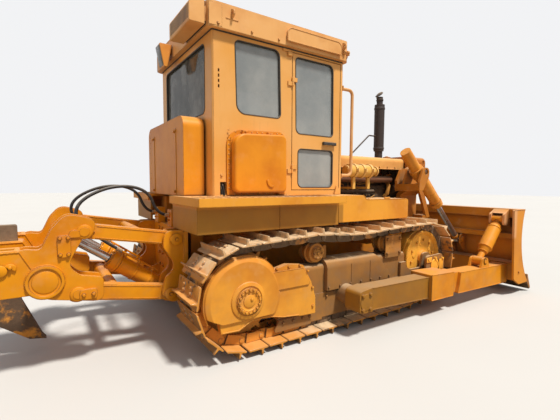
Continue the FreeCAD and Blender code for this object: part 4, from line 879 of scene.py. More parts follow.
for side, suffix in ((-1, "right"), (1, "left")):
    bit = Workpiece()
    y = sorted((side * (blade_half - 260), side * (blade_half + 0.5)))
    corners = ((4398, 260, 0), (4428, 262, 0), (4532, 50, 6), (4500, 34, 4), (4404, 150, 0))
    bit.prism(rounded_outline(corners), "xz", y[0], y[1], 4)
    for step in range(3):
        bit.bolt((4458, side * (blade_half - 215 + step * 85), 206), (0.9, 0, 0.43), 30, 0.4)
    bit.done("end_bit_" + suffix, bit_steel, "blade_body")

# Lift cylinders
# Each barrel hangs by trunnions in a yoke on the radiator guard, with a chromed rod down to the blade.
# The gland nut, its seal ring and the pipe clamps are separate fittings.
barrel_orange = (0.83, 0.35, 0.04)
barrel_paint = worn_paint("barrel paint", barrel_orange, 0.5, 0.5, 0.5, 0.45)


def chrome_finish():
    finish = Finish("chromed rod")
    streak = finish.noise(14.0, 3.0, 0.6)
    fine = finish.noise(60.0, 3.0, 0.6)
    colour = finish.mix(streak.between(0.4, 0.75) * 0.6, (0.58, 0.57, 0.56), (0.34, 0.30, 0.26))
    return finish.end(colour, (0.17 + streak * 0.25).clamped(), 0.9, fine, 0.05, 0.0005)


chrome = chrome_finish()
black_rubber_colour = (0.040, 0.034, 0.028)


def rubber_finish(name, colour, rough):
    finish = Finish(name)
    edge, rounded = finish.edges(0.003)
    dust = finish.noise(16.0, 4.0, 0.65)
    grain = finish.noise(220.0, 2.0, 0.5)
    film = finish.facing_up().between(0.2, 0.9) * 0.5 + dust.between(0.5, 0.8) * 0.35
    film = (film + edge * 0.2).clamped()
    tone = finish.mix(film, colour, (0.26, 0.20, 0.14))
    return finish.end(tone, (rough + film * 0.2).clamped(), 0.0, grain, 0.12, 0.0006, rounded)


rubber = rubber_finish("black rubber", black_rubber_colour, 0.55)
lift_top = Vector((2980, lift_y, 1740))
lift_run = (lift_eye - lift_top).normalized()
lift_gland = 694.0
for side in ("right", "left"):
    dress(barrel_paint, "lift_barrel_" + side)
    dress(chrome, "lift_rod_" + side)
gland_at = lift_top + lift_run * lift_gland
gland = Workpiece()
gland.turned(((-76, 89), (-70, 92), (-52, 92), (-46, 89)), gland_at, lift_run, 32, 82)
gland.turned(((0, 64), (7, 62), (10, 52)), gland_at, lift_run, 32, 42)
gland.bolts_about(8, 74, gland_at, lift_run, 17)
for reach in (130, 420, 600):
    gland.turned(((-12, 76), (-10, 80), (10, 80), (12, 76)), lift_top + lift_run * reach, lift_run, 32, 70)
for y in (-1, 1):
    gland.turned(((64, 74), (78, 74), (84, 64)), lift_top, (0, y, 0), 6)
gland.done_each_side("lift_gland", barrel_paint, "lift_barrel")
wiper = Workpiece()
wiper.turned(((10, 50), (15, 47), (17, 44)), gland_at, lift_run, 28, 41)
wiper.done_each_side("lift_wiper", rubber, "lift_barrel")
rod_eye = Workpiece()
rod_eye.turned(((-100, 41), (-92, 52), (-60, 54), (-52, 48)), lift_eye, lift_run, 28)
for y in (-1, 1):
    rod_eye.turned(((-3, 34), (3, 34), (6, 28), (6, 0.5)), lift_eye + Vector((0, y * 52, 0)), (0, y, 0), 24)
rod_eye.done_each_side("lift_rod_eye", barrel_paint, "lift_rod")

# Radiator guard and grille
# A heavy welded surround stands ahead of the engine, with lift yokes on both sides, struts down to the
# frame, bars across the radiator and a tow clevis with its pin.
guard_plate_orange = (0.56, 0.205, 0.022)
guard_plate_paint = worn_paint("radiator guard paint", guard_plate_orange, 0.6, 1.0, 0.7, 0.55)


def core_finish():
    finish = Finish("radiator bars")
    edge, rounded = finish.edges(0.006)
    blotch = finish.noise(8.0, 4.0, 0.6)
    fine = finish.noise(60.0, 4.0, 0.6)
    fins = finish.node("TexWave", {"wave_type": "BANDS", "bands_direction": "Y", "wave_profile": "SIN"},
                       {"Vector": finish.place(), "Scale": 38.0}, "Fac")
    colour = finish.mix(blotch, (0.045, 0.035, 0.024), (0.12, 0.085, 0.05))
    colour = finish.mix(fins * 0.3, colour, (0.02, 0.017, 0.014))
    colour = finish.mix(edge * 0.7, colour, (0.34, 0.16, 0.05))
    return finish.end(colour, (0.62 + fine * 0.2).clamped(), 0.2, fins + fine * 0.3, 0.3, 0.003, rounded)


radiator_dark = core_finish()
dress(guard_plate_paint, "radiator_guard")
dress(radiator_dark, "radiator_grille")
front = Workpiece()
guard_front = 3550.0
for y in (-478, 478):
    for z in (1560, 1700, 1840, 1950):
        front.bolt((guard_front, y, z), to_front, 26)
for y in (-342, 342):
    for z in (700, 860, 1020, 1180, 1340):
        front.bolt((guard_front, y, z), to_front, 26)
for y in (-300, -100, 100, 300):
    front.bolt((guard_front, y, 1948), to_front, 26)
    front.bolt((guard_front, y * 0.8, 680), to_front, 26)
for side in (-1, 1):
    for x in (3200, 3500):
        for z in (1620, 1780, 1930):
            front.bolt((x, side * 520, z), (0, side, 0), 26)
    front.weld(((2838, side * 860, 1577), (2922, side * 860, 1577)), 5)
    front.weld(((3302, side * 522, 1480), (3302, side * 522, 1890)), 5)
radiator_cap = ((0, 62), (18, 62), (24, 54), (24, 24), (34, 22), (36, 16))
front.turned(radiator_cap, (3260, 0, 1990), to_top, 24)
tow_pin = ((-16, 20), (-12, 34), (0, 34), (0, 24), (160, 24), (160, 0.5))
front.turned(tow_pin, (guard_front + 80, 0, 765), (0, 0, -1), 20)
front.done("radiator_guard_fixings", guard_plate_paint, "root")

# Engine and hood
# A cast six-cylinder block, oily and dusty, open at both sides under a folded sheet hood. Its pipes,
# filters and pump were brushed with the same orange paint.
hood_orange = (0.85, 0.43, 0.12)
hood_paint = worn_paint("hood paint", hood_orange, 0.7, 0.4, 0.4, 0.48)
dress(hood_paint, "hood")


def engine_finish(name, dark, light, orange_left):
    finish = Finish(name)
    edge, rounded = finish.edges(0.006)
    hollow = finish.hollows(0.15)
    fine = finish.noise(50.0, 5.0, 0.7)
    blotch = finish.noise(10.0, 4.0, 0.6)
    colour = finish.mix(blotch, dark, light)
    kept = (blotch + fine * 0.4 - (1.0 - orange_left * 0.5)).between(0.0, 0.15)
    colour = finish.mix(kept, colour, (0.58, 0.27, 0.05))
    colour = finish.mix(hollow.between(0.3, 0.8) * 0.7, colour, (0.03, 0.022, 0.016))
    dust = finish.facing_up().between(0.4, 0.95) * (0.3 + fine * 0.5)
    colour = finish.mix(dust, colour, (0.40, 0.29, 0.18))
    colour = finish.mix((edge - 0.3).clamped() * 0.6, colour, (0.42, 0.22, 0.08))
    roughness = (0.52 + fine * 0.25 + dust * 0.2).clamped()
    return finish.end(colour, roughness, 0.15, fine + blotch * 0.5, 0.4, 0.002, rounded)


engine_iron = engine_finish("engine iron", (0.055, 0.038, 0.026), (0.13, 0.085, 0.05), 0.2)
pipe_paint = engine_finish("engine pipe paint", (0.34, 0.16, 0.045), (0.62, 0.31, 0.08), 1.2)
sooty_steel = engine_finish("sooty steel", (0.018, 0.014, 0.014), (0.055, 0.034, 0.028), -1.0)
manifold_rust = engine_finish("manifold rust", (0.13, 0.055, 0.03), (0.27, 0.12, 0.055), -1.0)
canister_paint = worn_paint("canister paint", (0.80, 0.46, 0.10), 0.7, 0.6, 0.4, 0.42)
dress(engine_iron, "engine")
dress(manifold_rust, "exhaust_manifold")
dress(sooty_steel, "exhaust_stack")
dress(canister_paint, "side_canister")
head_bolts = Workpiece()
for x in range(1820, 2900, 90):
    for y in (-140, 140):
        head_bolts.bolt((x, y, 1700), to_top, 20)
for low, high in ((1850, 2330), (2390, 2850)):
    for x in range(low, high, 75):
        for side in (-1, 1):
            head_bolts.bolt((x, side * 82, 1770), to_top, 14)
for x in range(1800, 2940, 110):
    for side in (-1, 1):
        for z in (1010, 1500):
            head_bolts.bolt((x, side * 235, z), (0, side, 0), 18)
for x in range(1830, 2900, 180):
    head_bolts.turned(((0, 52), (6, 52), (10, 44), (10, 0.5)), (x, 235, 1280), (0, 1, 0), 20)
    head_bolts.block((x - 12, x + 12), (-242, -233), (1050, 1480), 3)
for radius, z in ((120, 1180), (88, 1560)):
    pulley = ((0, radius), (40, radius), (46, radius - 8), (46, 0.5))
    head_bolts.turned(pulley, (3000, 0, z), to_front, 28)
head_bolts.done("engine_fixings", engine_iron, "root")
lines = Workpiece()
for i in range(4):
    x = 2010 + 90 * i
    run = 1880 + 260 * i
    lines.tube(((x, -300, 1436), (x, -300, 1500), (x + 10, -290, 1560), (run, -262, 1590), (run, -215, 1640),
                (run, -170, 1668)), 6, 8)
for x in (2480, 2640):
    lines.turned(((0, 60), (4, 64), (16, 64), (20, 58)), (x, -315, 1352), to_top, 24)
    lines.turned(((0, 22), (14, 22), (16, 16)), (x, -315, 1116), (0, 0, -1), 6)
    lines.tube(((x - 30, -332, 1400), (x - 60, -352, 1400), (x - 110, -350, 1380), (2330, -320, 1330)), 8, 8)
oil_drain = (
    (1970, -340, 1300), (1880, -372, 1290), (1800, -380, 1220), (1760, -360, 1020), (1750, -300, 930),
)
oil_feed = (
    (2330, -330, 1250), (2420, -372, 1190), (2700, -378, 1100), (2900, -330, 1060), (2960, -260, 1060),
)
for bend in (oil_drain, oil_feed):
    lines.tube(bend, 10, 8)
upper_coolant = (
    (2920, -240, 1380), (2940, -290, 1420), (2960, -300, 1540), (2980, -240, 1640), (3040, -180, 1700),
    (3150, -150, 1720),
)
lines.tube(upper_coolant, 30, 12)
lower_coolant = ((2900, 230, 1180), (2960, 290, 1150), (3060, 300, 1100), (3150, 250, 1060))
lines.tube(lower_coolant, 32, 12)
lines.done("engine_lines", pipe_paint, "root")
belts = Workpiece()
belt_run = ((-118, 1180), (-86, 1560), (0, 1646), (86, 1560), (118, 1180), (0, 1062))
for x in (3012, 3030):
    belts.tube([(x, y, z) for y, z in belt_run], 6, 6, True)
belts.tube(((1860, 330, 1205), (1840, 360, 1290), (1900, 330, 1400), (1980, 240, 1440)), 7, 8)
belts.done("engine_belts", rubber, "root")
stack_x = 2990.0
stack_y = -60.0
pipe = Workpiece()
pipe.turned(((0, 50), (0, 90), (10, 90), (14, 84), (14, 64)), (stack_x, stack_y, 1957), to_top, 32)
for z in (2120, 2740):
    pipe.turned(((-5, 80), (0, 84), (24, 84), (30, 80)), (stack_x, stack_y, z), to_top, 32)
pipe.turned(((0, 50), (4, 55), (26, 55), (30, 50)), (stack_x, stack_y, 2868), to_top, 28)
cap_tilt = Vector((-0.70, 0, 0.71))
pipe.turned(((0, 0.5), (0, 58), (6, 58), (13, 42), (15, 0.5)), (stack_x - 9, stack_y, 2972), cap_tilt, 28)
pipe.block((stack_x - 68, stack_x - 48), (stack_y - 14, stack_y + 14), (2898, 2940), 2)
pipe.block((stack_x - 98, stack_x - 60), (stack_y - 9, stack_y + 9), (2922, 2936), 2)
pipe.turned(((0, 24), (6, 24), (8, 20), (8, 0.5)), (2330, stack_y, 1967), to_top, 6)
pipe.done("exhaust_fittings", sooty_steel, "root")
hood_trim = Workpiece()
for x in range(1580, 3120, 170):
    for side in (-1, 1):
        hood_trim.bolt((x, side * 425, 1815), (0, side, 0), 18)
for x in (1522, 2320, 3136):
    hood_trim.block((x - 9, x + 9), (-352, 352), (1953, 1958.5), 2)
for side in (-1, 1):
    hood_trim.tube(((1516, side * 424, 1791), (3146, side * 424, 1791)), 7, 8)
hood_trim.turned(((0, 44), (3, 52), (22, 52), (26, 46), (26, 0.5)), (1760, 120, 1955), to_top, 28)
hood_trim.done("hood_fixings", hood_paint, "root")
band_paint = worn_paint("band paint", (0.88, 0.55, 0.18), 0.5, 0.3, 0.4, 0.4)
canister_y = -545
canister_z = 1742
bands = Workpiece()
for x in (1925, 2070, 2215):
    bands.turned(((0, 93), (4, 95.5), (34, 95.5), (38, 93)), (x, canister_y, canister_z), to_front, 32)
    bands.block((x + 6, x + 32), (-662, -630), (1722, 1762), 4)
    bands.bolt((x + 19, -646, 1762), to_top, 16)
for x in (2350, 1806):
    bands.turned(((0, 66), (3, 70), (20, 70), (24, 66)), (x, canister_y, canister_z), to_front, 24)
bands.done("canister_bands", band_paint, "root")

# Decks and side boxes
# Folded plate decks cross the tracks beside the cab, with a turned-down lip, a skirt behind it darkened
# with painted shade and a plain box ahead of each door. The top is trodden and dusty.
deck_orange = (0.86, 0.37, 0.035)
# Painted shade: the skirt under the deck's lip is darkened below 1.345 m.
skirt_painted_shade = (shaft_x + 1.25, 1.345, (0.26, 0.12, 0.018), 0.75)
skirt_paint = worn_paint("deck paint", deck_orange, 1.0, 0.5, 0.5, 0.5, skirt_painted_shade)
dress(skirt_paint, "fender_right", "fender_left")
deck = Workpiece()
deck.weld(((1182, -1101.5, 1150), (1182, -1101.5, 1436)), 4.5)
deck.weld(((1562, -1099, 1441), (1622, -1099, 1387), (2335, -1099, 1387)), 4)
for x in range(-380, 1140, 76):
    deck.block((x, x + 8), (-1190, -870), (1439, 1443), 1)
deck.block((1700, 2290), (-1090, -700), (1384, 1390), 2)
for x in (1760, 2230):
    deck.turned(((0, 14), (5, 14), (8, 10), (8, 0.5)), (x, -1000, 1390), to_top, 12)
deck.block((1950, 2050), (-1080, -1066), (1390, 1412), 3)
deck.weld(((420, -1101.5, 1128), (420, -1101.5, 1405)), 4)
deck.done("deck_fixings", skirt_paint, "root", "both")

# Cab
# The cab is welded sheet with black rubber seals round its glass. Its orange has bleached paler than
# the frame's, and the inside is dark grey.
cab_orange = (0.85, 0.43, 0.125)
cab_side = -800.0
cab_rear = -140.0
cab_front = 1510.0


def cab_finish():
    finish = Finish("cab paint")
    edge, rounded = finish.edges(0.008)
    hollow = finish.hollows(0.12)
    fine = finish.noise(42.0, 5.0, 0.65)
    patch = finish.noise(1.4, 4.0, 0.6)
    blotch = finish.noise(6.5, 4.0, 0.6)
    runs = finish.noise(7.0, 4.0, 0.6, (5.0, 5.0, 0.5))
    colour = finish.mix(patch.between(0.35, 0.75), cab_orange, (0.81, 0.37, 0.07))
    colour = finish.mix(blotch.between(0.5, 0.85) * 0.3, colour, (0.90, 0.50, 0.18))
    streak = runs.between(0.56, 0.74) * (0.18 + (1 - finish.height().between(1.45, 2.4)) * 0.25)
    colour = finish.mix(streak, colour, (0.50, 0.25, 0.08))
    colour = finish.mix(hollow.between(0.35, 0.9) * 0.6, colour, (0.34, 0.17, 0.06))
    film = finish.facing_up().between(0.6, 0.95) * (0.4 + patch.between(0.3, 0.7) * 0.5)
    colour = finish.mix(film, colour, (0.62, 0.48, 0.32))
    worn = (edge * (0.4 + blotch) + fine * 0.5 + blotch * 0.3 - 1.10).between(0.0, 0.12)
    colour = finish.mix(worn, colour, finish.mix(fine, (0.14, 0.06, 0.03), (0.34, 0.15, 0.06)))
    ahead_of = finish.along("X")
    sideways = finish.along("Y")
    across = sideways.maths("ABSOLUTE", sideways)
    inside = (1 - across.between(0.758, 0.764)) * ahead_of.between(shaft_x - 0.098, shaft_x - 0.092)
    inside = inside * (1 - ahead_of.between(shaft_x + 1.461, shaft_x + 1.467))
    grey = finish.mix(fine, (0.055, 0.052, 0.046), (0.10, 0.092, 0.078))
    colour = finish.mix(inside, colour, grey)
    roughness = (0.42 + streak * 0.3 + film * 0.35 + worn * 0.25 + inside * 0.2).clamped()
    relief = fine * 0.22 + blotch * 0.45 - worn * 0.6
    return finish.end(colour, roughness, 0.0, relief, 0.3, 0.003, rounded, Specular_IOR_Level=0.35)


cab_paint = cab_finish()
dress(cab_paint, "cab_shell", "door_right", "door_left")


def window_seal(work, corners, plane, level, outward):
    """Rubber seal with a raised lip, round a window's outline, from inside the cut to outside it."""
    line = rounded_outline(corners, 6)
    section = ((-4, 0.5), (-4, 3.5), (-1, 5), (4, 4), (7, 1), (8, -8), (7, -22), (1, -22), (1, 0.5))
    rings = []
    for inset, rise in section:
        ring = shrunk(line, inset)
        rings.append([placed(plane, p.x, p.y, level + outward * rise) for p in ring])
    work.loft(rings, True)


quarter_window = ((112, 2240, 95), (92, 2925, 45), (604, 2925, 70), (622, 2240, 50))
door_window = ((820, 2105, 60), (806, 2905, 45), (1340, 2905, 70), (1350, 2105, 45))
door_low_window = ((850, 1525, 60), (848, 1945, 45), (1352, 1945, 45), (1352, 1525, 60))
end_window = ((-640, 2010, 60), (-640, 2900, 60), (640, 2900, 60), (640, 2010, 60))
rear_window = ((-620, 2240, 60), (-620, 2900, 60), (620, 2900, 60), (620, 2240, 60))
seals = Workpiece()
window_seal(seals, quarter_window, "xz", cab_side, -1)
seals.done("quarter_window_seals", rubber, "root", "both")
end_seals = Workpiece()
window_seal(end_seals, end_window, "yz", cab_front, 1)
window_seal(end_seals, rear_window, "yz", cab_rear, -1)
end_seals.done("end_window_seals", rubber, "root")
door_seals = Workpiece()
for corners in (door_window, door_low_window):
    window_seal(door_seals, corners, "xz", cab_side, -1)
door_seals.block((1190, 1380), (-836.5, -815), (2005, 2041), 6)
for x in (1193, 1349):
    door_seals.block((x, x + 28), (-817, -799), (2006, 2040), 3)
door_seals.done_each_side("door_seals", rubber, "door")
gap_seal = Workpiece()
hinge_x = 766.5
door_front_x = 1453.5
door_foot = 1496.5
door_top = 2943.5
door_corners = (
    (hinge_x, door_foot), (door_front_x, door_foot), (door_front_x, door_top), (hinge_x, door_top),
)
door_edge = [Vector(corner) for corner in door_corners]
inner_line = shrunk(door_edge, 14)
rings = []
for line, level in ((door_edge, -757), (door_edge, -752), (inner_line, -752), (inner_line, -755.5)):
    rings.append([placed("xz", p.x, p.y, level) for p in line])
gap_seal.loft(rings, True)
gap_seal.done("doorway_seals", rubber, "root", "both")

trim = Workpiece()
trim.tube(((-128, -801, 1450), (-128, -801, 2960)), 4, 8)
trim.block((640, 748), (-812, -799), (2936, 2962), 4)
trim.block((700, 756), (-822, -799), (2895, 2937), 5)
gusset = rounded_outline(((1372, 1441, 4), (1462, 1441, 4), (1428, 1545, 10), (1406, 1545, 10)))
trim.prism(gusset, "xz", -822, -806, 3)
for x, z in ((-52, 1640), (-52, 1445), (700, 1440)):
    trim.bolt((x, cab_side, z), to_side, 20)
flange_rivets = [(19, z) for z in range(1520, 2080, 46)]
flange_rivets += [(x, 2062 + (x - 90) * 0.035) for x in range(90, 640, 60)]
flange_rivets += [(x, 1461) for x in range(80, 660, 70)]
for x, z in flange_rivets:
    trim.turned(((0, 8.5), (3, 7.5), (5, 4), (5, 0.5)), (x, -816, z), to_side, 10)
trim.weld(((-138, -806, 1441), (765, -806, 1441)), 4.5)
trim.weld(((-144, -790, 1441), (-144, 0, 1441)), 4.5)
for z in (1720, 2640):
    trim.turned(((0, 9), (5, 8), (7, 4), (7, 0.5)), (hinge_x, -812, z + 45), to_top, 14)
for low, high in ((1634, 1686), (2664, 2722)):
    trim.block((1512, 1522), (-790, -730), (low, high), 3)
trim.done("cab_trim", cab_paint, "root", "both")
box_face = -912.0
box_paint = worn_paint("side box paint", (0.80, 0.29, 0.012), 0.35, 0.35, 0.3, 0.42)
dress(box_paint, "side_boxes")
latch = Workpiece()
crescent = arc((445, 1598), (62, 74), 180, 280, 12) + arc((458, 1604), (48, 58), 280, 180, 12)
latch.prism([Vector(point) for point in crescent], "xz", box_face - 12, box_face + 2, 3)
for x in (150, 440):
    latch.block((x, x + 62), (-850, -812), (2040, 2078), 6)
    latch.bolt((x + 31, -850, 2060), to_side, 18)
latch.block((560, 640), (-868, -812), (1452, 1482), 6)
latch.bolt((330, -860, 1474), (0, -0.3, -1), 20)
latch.tube(((33, -828, 1500), (33, -828, 2000)), 3.5, 6)
latch.done("side_box_latches", box_paint, "root", "both")
# Near-black sheets at the back of the louvre slots and of the opening low on the rear post are painted
# shade; the two hoses that come out of that opening are black rubber in the same finish.
slot_shade_and_hose_black = rubber_finish("slot dark", (0.012, 0.011, 0.010), 0.9)
slots = Workpiece()
for i in range(4):
    slots.block((-84, -66), (-783, -781), (2453 + 48 * i, 2485 + 48 * i), 0.5)
slots.block((-68, -2), (-768, -766), (1452, 1578), 0.5)
slots.tube(((-35, -770, 1560), (-38, -796, 1540), (-30, -806, 1490), (-28, -806, 1448)), 9, 8)
slots.tube(((-48, -770, 1540), (-52, -798, 1510), (-50, -806, 1448)), 6, 8)
slots.done("cab_slots", slot_shade_and_hose_black, "root", "both")


def glass_finish(name, clear, tint, gloss):
    finish = Finish(name)
    dust = finish.noise(5.0, 4.0, 0.6)
    fine = finish.noise(60.0, 4.0, 0.7)
    wiped = finish.noise(2.2, 2.0, 0.5, (1.0, 1.0, 0.35))
    film = (dust.between(0.35, 0.8) * 0.22 + fine * 0.14 + wiped.between(0.4, 0.75) * 0.28).clamped()
    low = 1 - finish.height().between(2.05, 2.45)
    film = (film + low * 0.25).clamped()
    colour = finish.mix(film, tint, (0.50, 0.49, 0.45))
    alpha = (clear + film * 0.38).clamped()
    finish.feed(finish.shader.inputs["Alpha"], alpha)
    roughness = (0.04 + film * 0.22).clamped()
    return finish.end(colour, roughness, Coat_Weight=gloss, Coat_Roughness=0.03, IOR=1.5,
                      Specular_IOR_Level=gloss * 0.5)


cab_pane = glass_finish("cab glass", 0.55, (0.30, 0.335, 0.345), 1.0)
dress(cab_pane, "cab_glass", "door_glass_right", "door_glass_left")
# Painted shade: the panes at the cab's rear get a near-black tint, less clearness and little gloss.
shaded_rear_pane = glass_finish("rear glass", 0.80, (0.020, 0.021, 0.012), 0.15)
fixed_panes = nodes["cab_glass"].data
fixed_panes.materials.append(shaded_rear_pane)
behind_cab = shaft_x + 0.2
for face in fixed_panes.polygons:
    if face.center.x < behind_cab and abs(face.normal.x) > 0.5:
        face.material_index = 1

# Roof
# A thick hollow roof sits on the cab over a rubber strip, with visors, lifting lugs, round lamps in
# front, and a tapered lamp and a blower pack behind.
# The roof's orange is made paler than the cab's, as a painted sheen.
roof_paint = worn_paint("roof paint", (0.86, 0.45, 0.155), 0.8, 0.35, 0.4, 0.48)
dress(roof_paint, "cab_roof")
strip = Workpiece()
corner = 46
ring_points = rounded_outline(((cab_rear, -800, 14), (cab_rear, 800, 14), (cab_front, 800, corner),
                               (cab_front, -800, corner)), 5)
outer_line = shrunk(ring_points, -4)
strip.loft([
    [placed("xy", p.x, p.y, 2962) for p in outer_line],
    [placed("xy", p.x, p.y, 2977) for p in outer_line],
    [placed("xy", p.x, p.y, 2977) for p in ring_points],
    [placed("xy", p.x, p.y, 2962) for p in ring_points],
], True)
pack_rear = -365.0
for y in range(-800, -290, 34):
    strip.block((pack_rear - 2, pack_rear + 4), (y, y + 15), (3010, 3130), 1)
strip.block((pack_rear + 143, pack_rear + 166), (-800, -304), (2990, 3150), 2)
strip.done("roof_strips", rubber, "root")
roof_trim = Workpiece()
visor_line = rounded_outline(((655, 3020, 10), (655, 3150, 60), (1395, 3150, 60), (1395, 3020, 10)), 5)
roof_trim.tube([placed("xz", p.x, p.y, -876) for p in visor_line], 5, 8, True)
for x in (-100, 250, 560):
    roof_trim.bolt((x, -852, 3010), to_side, 20)
for x in (1450, 1510):
    roof_trim.block((x - 16, x + 16), (-874, -850), (3040, 3090), 5)
    roof_trim.bolt((x, -874, 3065), to_side, 18)
roof_trim.block((-190, -60), (-853.5, -851), (2985, 3180), 1)
for low, high in ((-24, 104), (1376, 1500)):
    roof_trim.weld(((low, -853, 3075), (high, -853, 3075)), 5)
roof_trim.tube(((-200, -780, 3200), (-200, 0, 3200)), 4, 8)
roof_trim.done("roof_trim", roof_paint, "root", "both")
lamp_paint = worn_paint("lamp paint", (0.82, 0.34, 0.06), 0.5, 0.4, 0.4, 0.4)
dress(lamp_paint, "work_lamps")


def lens_finish():
    finish = Finish("lamp lens")
    ribs = finish.node("TexWave", {"wave_type": "BANDS", "bands_direction": "Y"},
                       {"Vector": finish.place(), "Scale": 30.0}, "Fac")
    dust = finish.noise(14.0, 4.0, 0.6)
    # The lenses' dark grey is painted shade, standing for a lamp that faces away from the light.
    colour = finish.mix(dust.between(0.4, 0.8) * 0.6, (0.20, 0.20, 0.19), (0.15, 0.12, 0.09))
    colour = finish.mix(ribs * 0.25, colour, (0.08, 0.08, 0.08))
    return finish.end(colour, (0.16 + dust * 0.3).clamped(), 0.1, ribs, 0.3, 0.002, None)


lens = lens_finish()
lenses = Workpiece()
rims = Workpiece()
for y in (-650, 650):
    face = (1635, y, 3115)
    lenses.turned(((-3, 64), (0, 64), (5, 48), (8, 24), (9, 0.5)), face, to_front, 32)
    rims.turned(((-12, 76), (-10, 79), (2, 79), (5, 74), (5, 64), (-2, 63)), face, to_front, 32)
    rims.turned(((-70, 30), (-60, 45), (-50, 60), (-46, 76)), face, to_front, 28)
wedge_lens = rounded_outline(((180, 2880, 8), (180, 3096, 12), (320, 3096, 12), (320, 2880, 8)), 4)
wedge_face_x = -348
wedge_top = 3110
wedge_height = 245
wedge_lean = 50
rings = []
for inset, lift in ((0, 0), (3, 5), (14, 8)):
    ring = []
    for p in shrunk(wedge_lens, inset):
        share = (wedge_top - p.y) / wedge_height
        ring.append(Vector((wedge_face_x + wedge_lean * share - lift, p.x, p.y)))
    rings.append(ring)
lenses.loft(rings)
lenses.done("lamp_lenses", lens, "root")
rims.done("lamp_rims", lamp_paint, "root")

# Fuel tank
# A rounded steel tank stands across the rear of the deck behind the cab, with its seams welded, a
# filler cap on top and two straps bolted to the deck.
tank_paint = worn_paint("tank paint", (0.80, 0.30, 0.012), 0.6, 0.7, 0.4, 0.45)
dress(tank_paint, "fuel_tank")
tank = Workpiece()
for y in (-400, 400):
    tank.block((-370, -364), (y - 28, y + 28), (1445, 2100), 2)
    for z in (1480, 2070):
        tank.bolt((-370, y, z), to_rear, 24)
tank.weld(((-362, -630, 1448), (-362, 630, 1448)), 5, 22)
filler_cap = ((0, 58), (8, 58), (12, 50), (14, 50), (30, 48), (34, 40), (34, 0.5))
tank.turned(filler_cap, (-262, 260, 2205), to_top, 28)
tank.turned(((0, 30), (10, 30), (14, 24), (14, 0.5)), (-262, -300, 2205), to_top, 6)
for z in range(1560, 2120, 60):
    tank.turned(((0, 5), (2, 5), (2, 0.5)), (-365, 560, z), to_rear, 8)
tank.done("tank_fittings", tank_paint, "root")

# Grab rails
# An upright steel tube ahead of each door is bent back into the cab's front post at both ends. Hands
# and sun have left its orange paler than the rest.
rail_paint = worn_paint("rail paint", (0.86, 0.50, 0.22), 0.5, 0.3, 0.4, 0.45)
dress(rail_paint, "grab_rails")

# Cab inside
# Through the panes show a suspension seat in black vinyl on a rubber bellows, a dark dash with levers
# and pedals, and a ribbed rubber mat. The two cushions are stuffed and sewn in panels.
def vinyl_finish():
    finish = Finish("seat vinyl")
    edge, rounded = finish.edges(0.004)
    grain = finish.noise(260.0, 2.0, 0.5)
    crease = finish.noise(11.0, 4.0, 0.6)
    dust = finish.noise(7.0, 4.0, 0.6)
    film = (finish.facing_up().between(0.3, 0.95) * 0.35 + dust.between(0.5, 0.8) * 0.3).clamped()
    colour = finish.mix(film, (0.035, 0.033, 0.030), (0.20, 0.16, 0.12))
    colour = finish.mix(edge * 0.4, colour, (0.10, 0.09, 0.08))
    roughness = (0.38 + film * 0.35 + crease * 0.12).clamped()
    return finish.end(colour, roughness, 0.0, grain * 0.4 + crease, 0.35, 0.003, rounded)


vinyl = vinyl_finish()
voxel = 0.007
puff_limit = 0.022
seam_depth = 0.011
seam_width = 0.009
settle_frames = 20


def stuffed(name, corners, half_width, seams):
    """Cushion blown up by cloth simulation from a smaller block, with seams drawn in after it."""
    block = Workpiece()
    block.prism(shrunk(rounded_outline(corners), 16), "xz", -half_width + 16, half_width - 16, 20)
    piece = block.done(name, vinyl, "root")
    scene = bpy.context.scene
    remesh = piece.modifiers.new("remesh", "REMESH")
    remesh.mode = "VOXEL"
    remesh.voxel_size = voxel
    depsgraph = bpy.context.evaluated_depsgraph_get()
    start = bpy.data.meshes.new_from_object(piece.evaluated_get(depsgraph))
    piece.modifiers.clear()
    piece.data = start
    resting = [vertex.co.copy() for vertex in start.vertices]
    cloth = piece.modifiers.new("cloth", "CLOTH")
    cloth.settings.use_pressure = True
    cloth.settings.uniform_pressure_force = 4.0
    cloth.settings.effector_weights.gravity = 0.0
    cloth.collision_settings.use_collision = False
    for frame_number in range(1, settle_frames + 1):
        scene.frame_set(frame_number)
    depsgraph = bpy.context.evaluated_depsgraph_get()
    blown = bpy.data.meshes.new_from_object(piece.evaluated_get(depsgraph))
    piece.modifiers.clear()
    scene.frame_set(1)
    for vertex, before, after in zip(start.vertices, resting, blown.vertices):
        move = after.co - before
        reach = min(move.length, puff_limit)
        vertex.co = before + (move.normalized() * reach if move.length > 0 else move)
    start.update()
    normals = [vertex.normal.copy() for vertex in start.vertices]
    for vertex, normal in zip(start.vertices, normals):
        sink = 0.0
        for axis, place in seams:
            off = (vertex.co[axis] - place) / seam_width
            sink = max(sink, math.exp(-off * off))
        vertex.co -= normal * (sink * seam_depth)
    start.materials.clear()
    start.materials.append(vinyl)
    start.polygons.foreach_set("use_smooth", [True] * len(start.polygons))
    smooth = piece.modifiers.new("subdivision", "SUBSURF")
    smooth.levels = 1
    smooth.render_levels = 1
    return piece


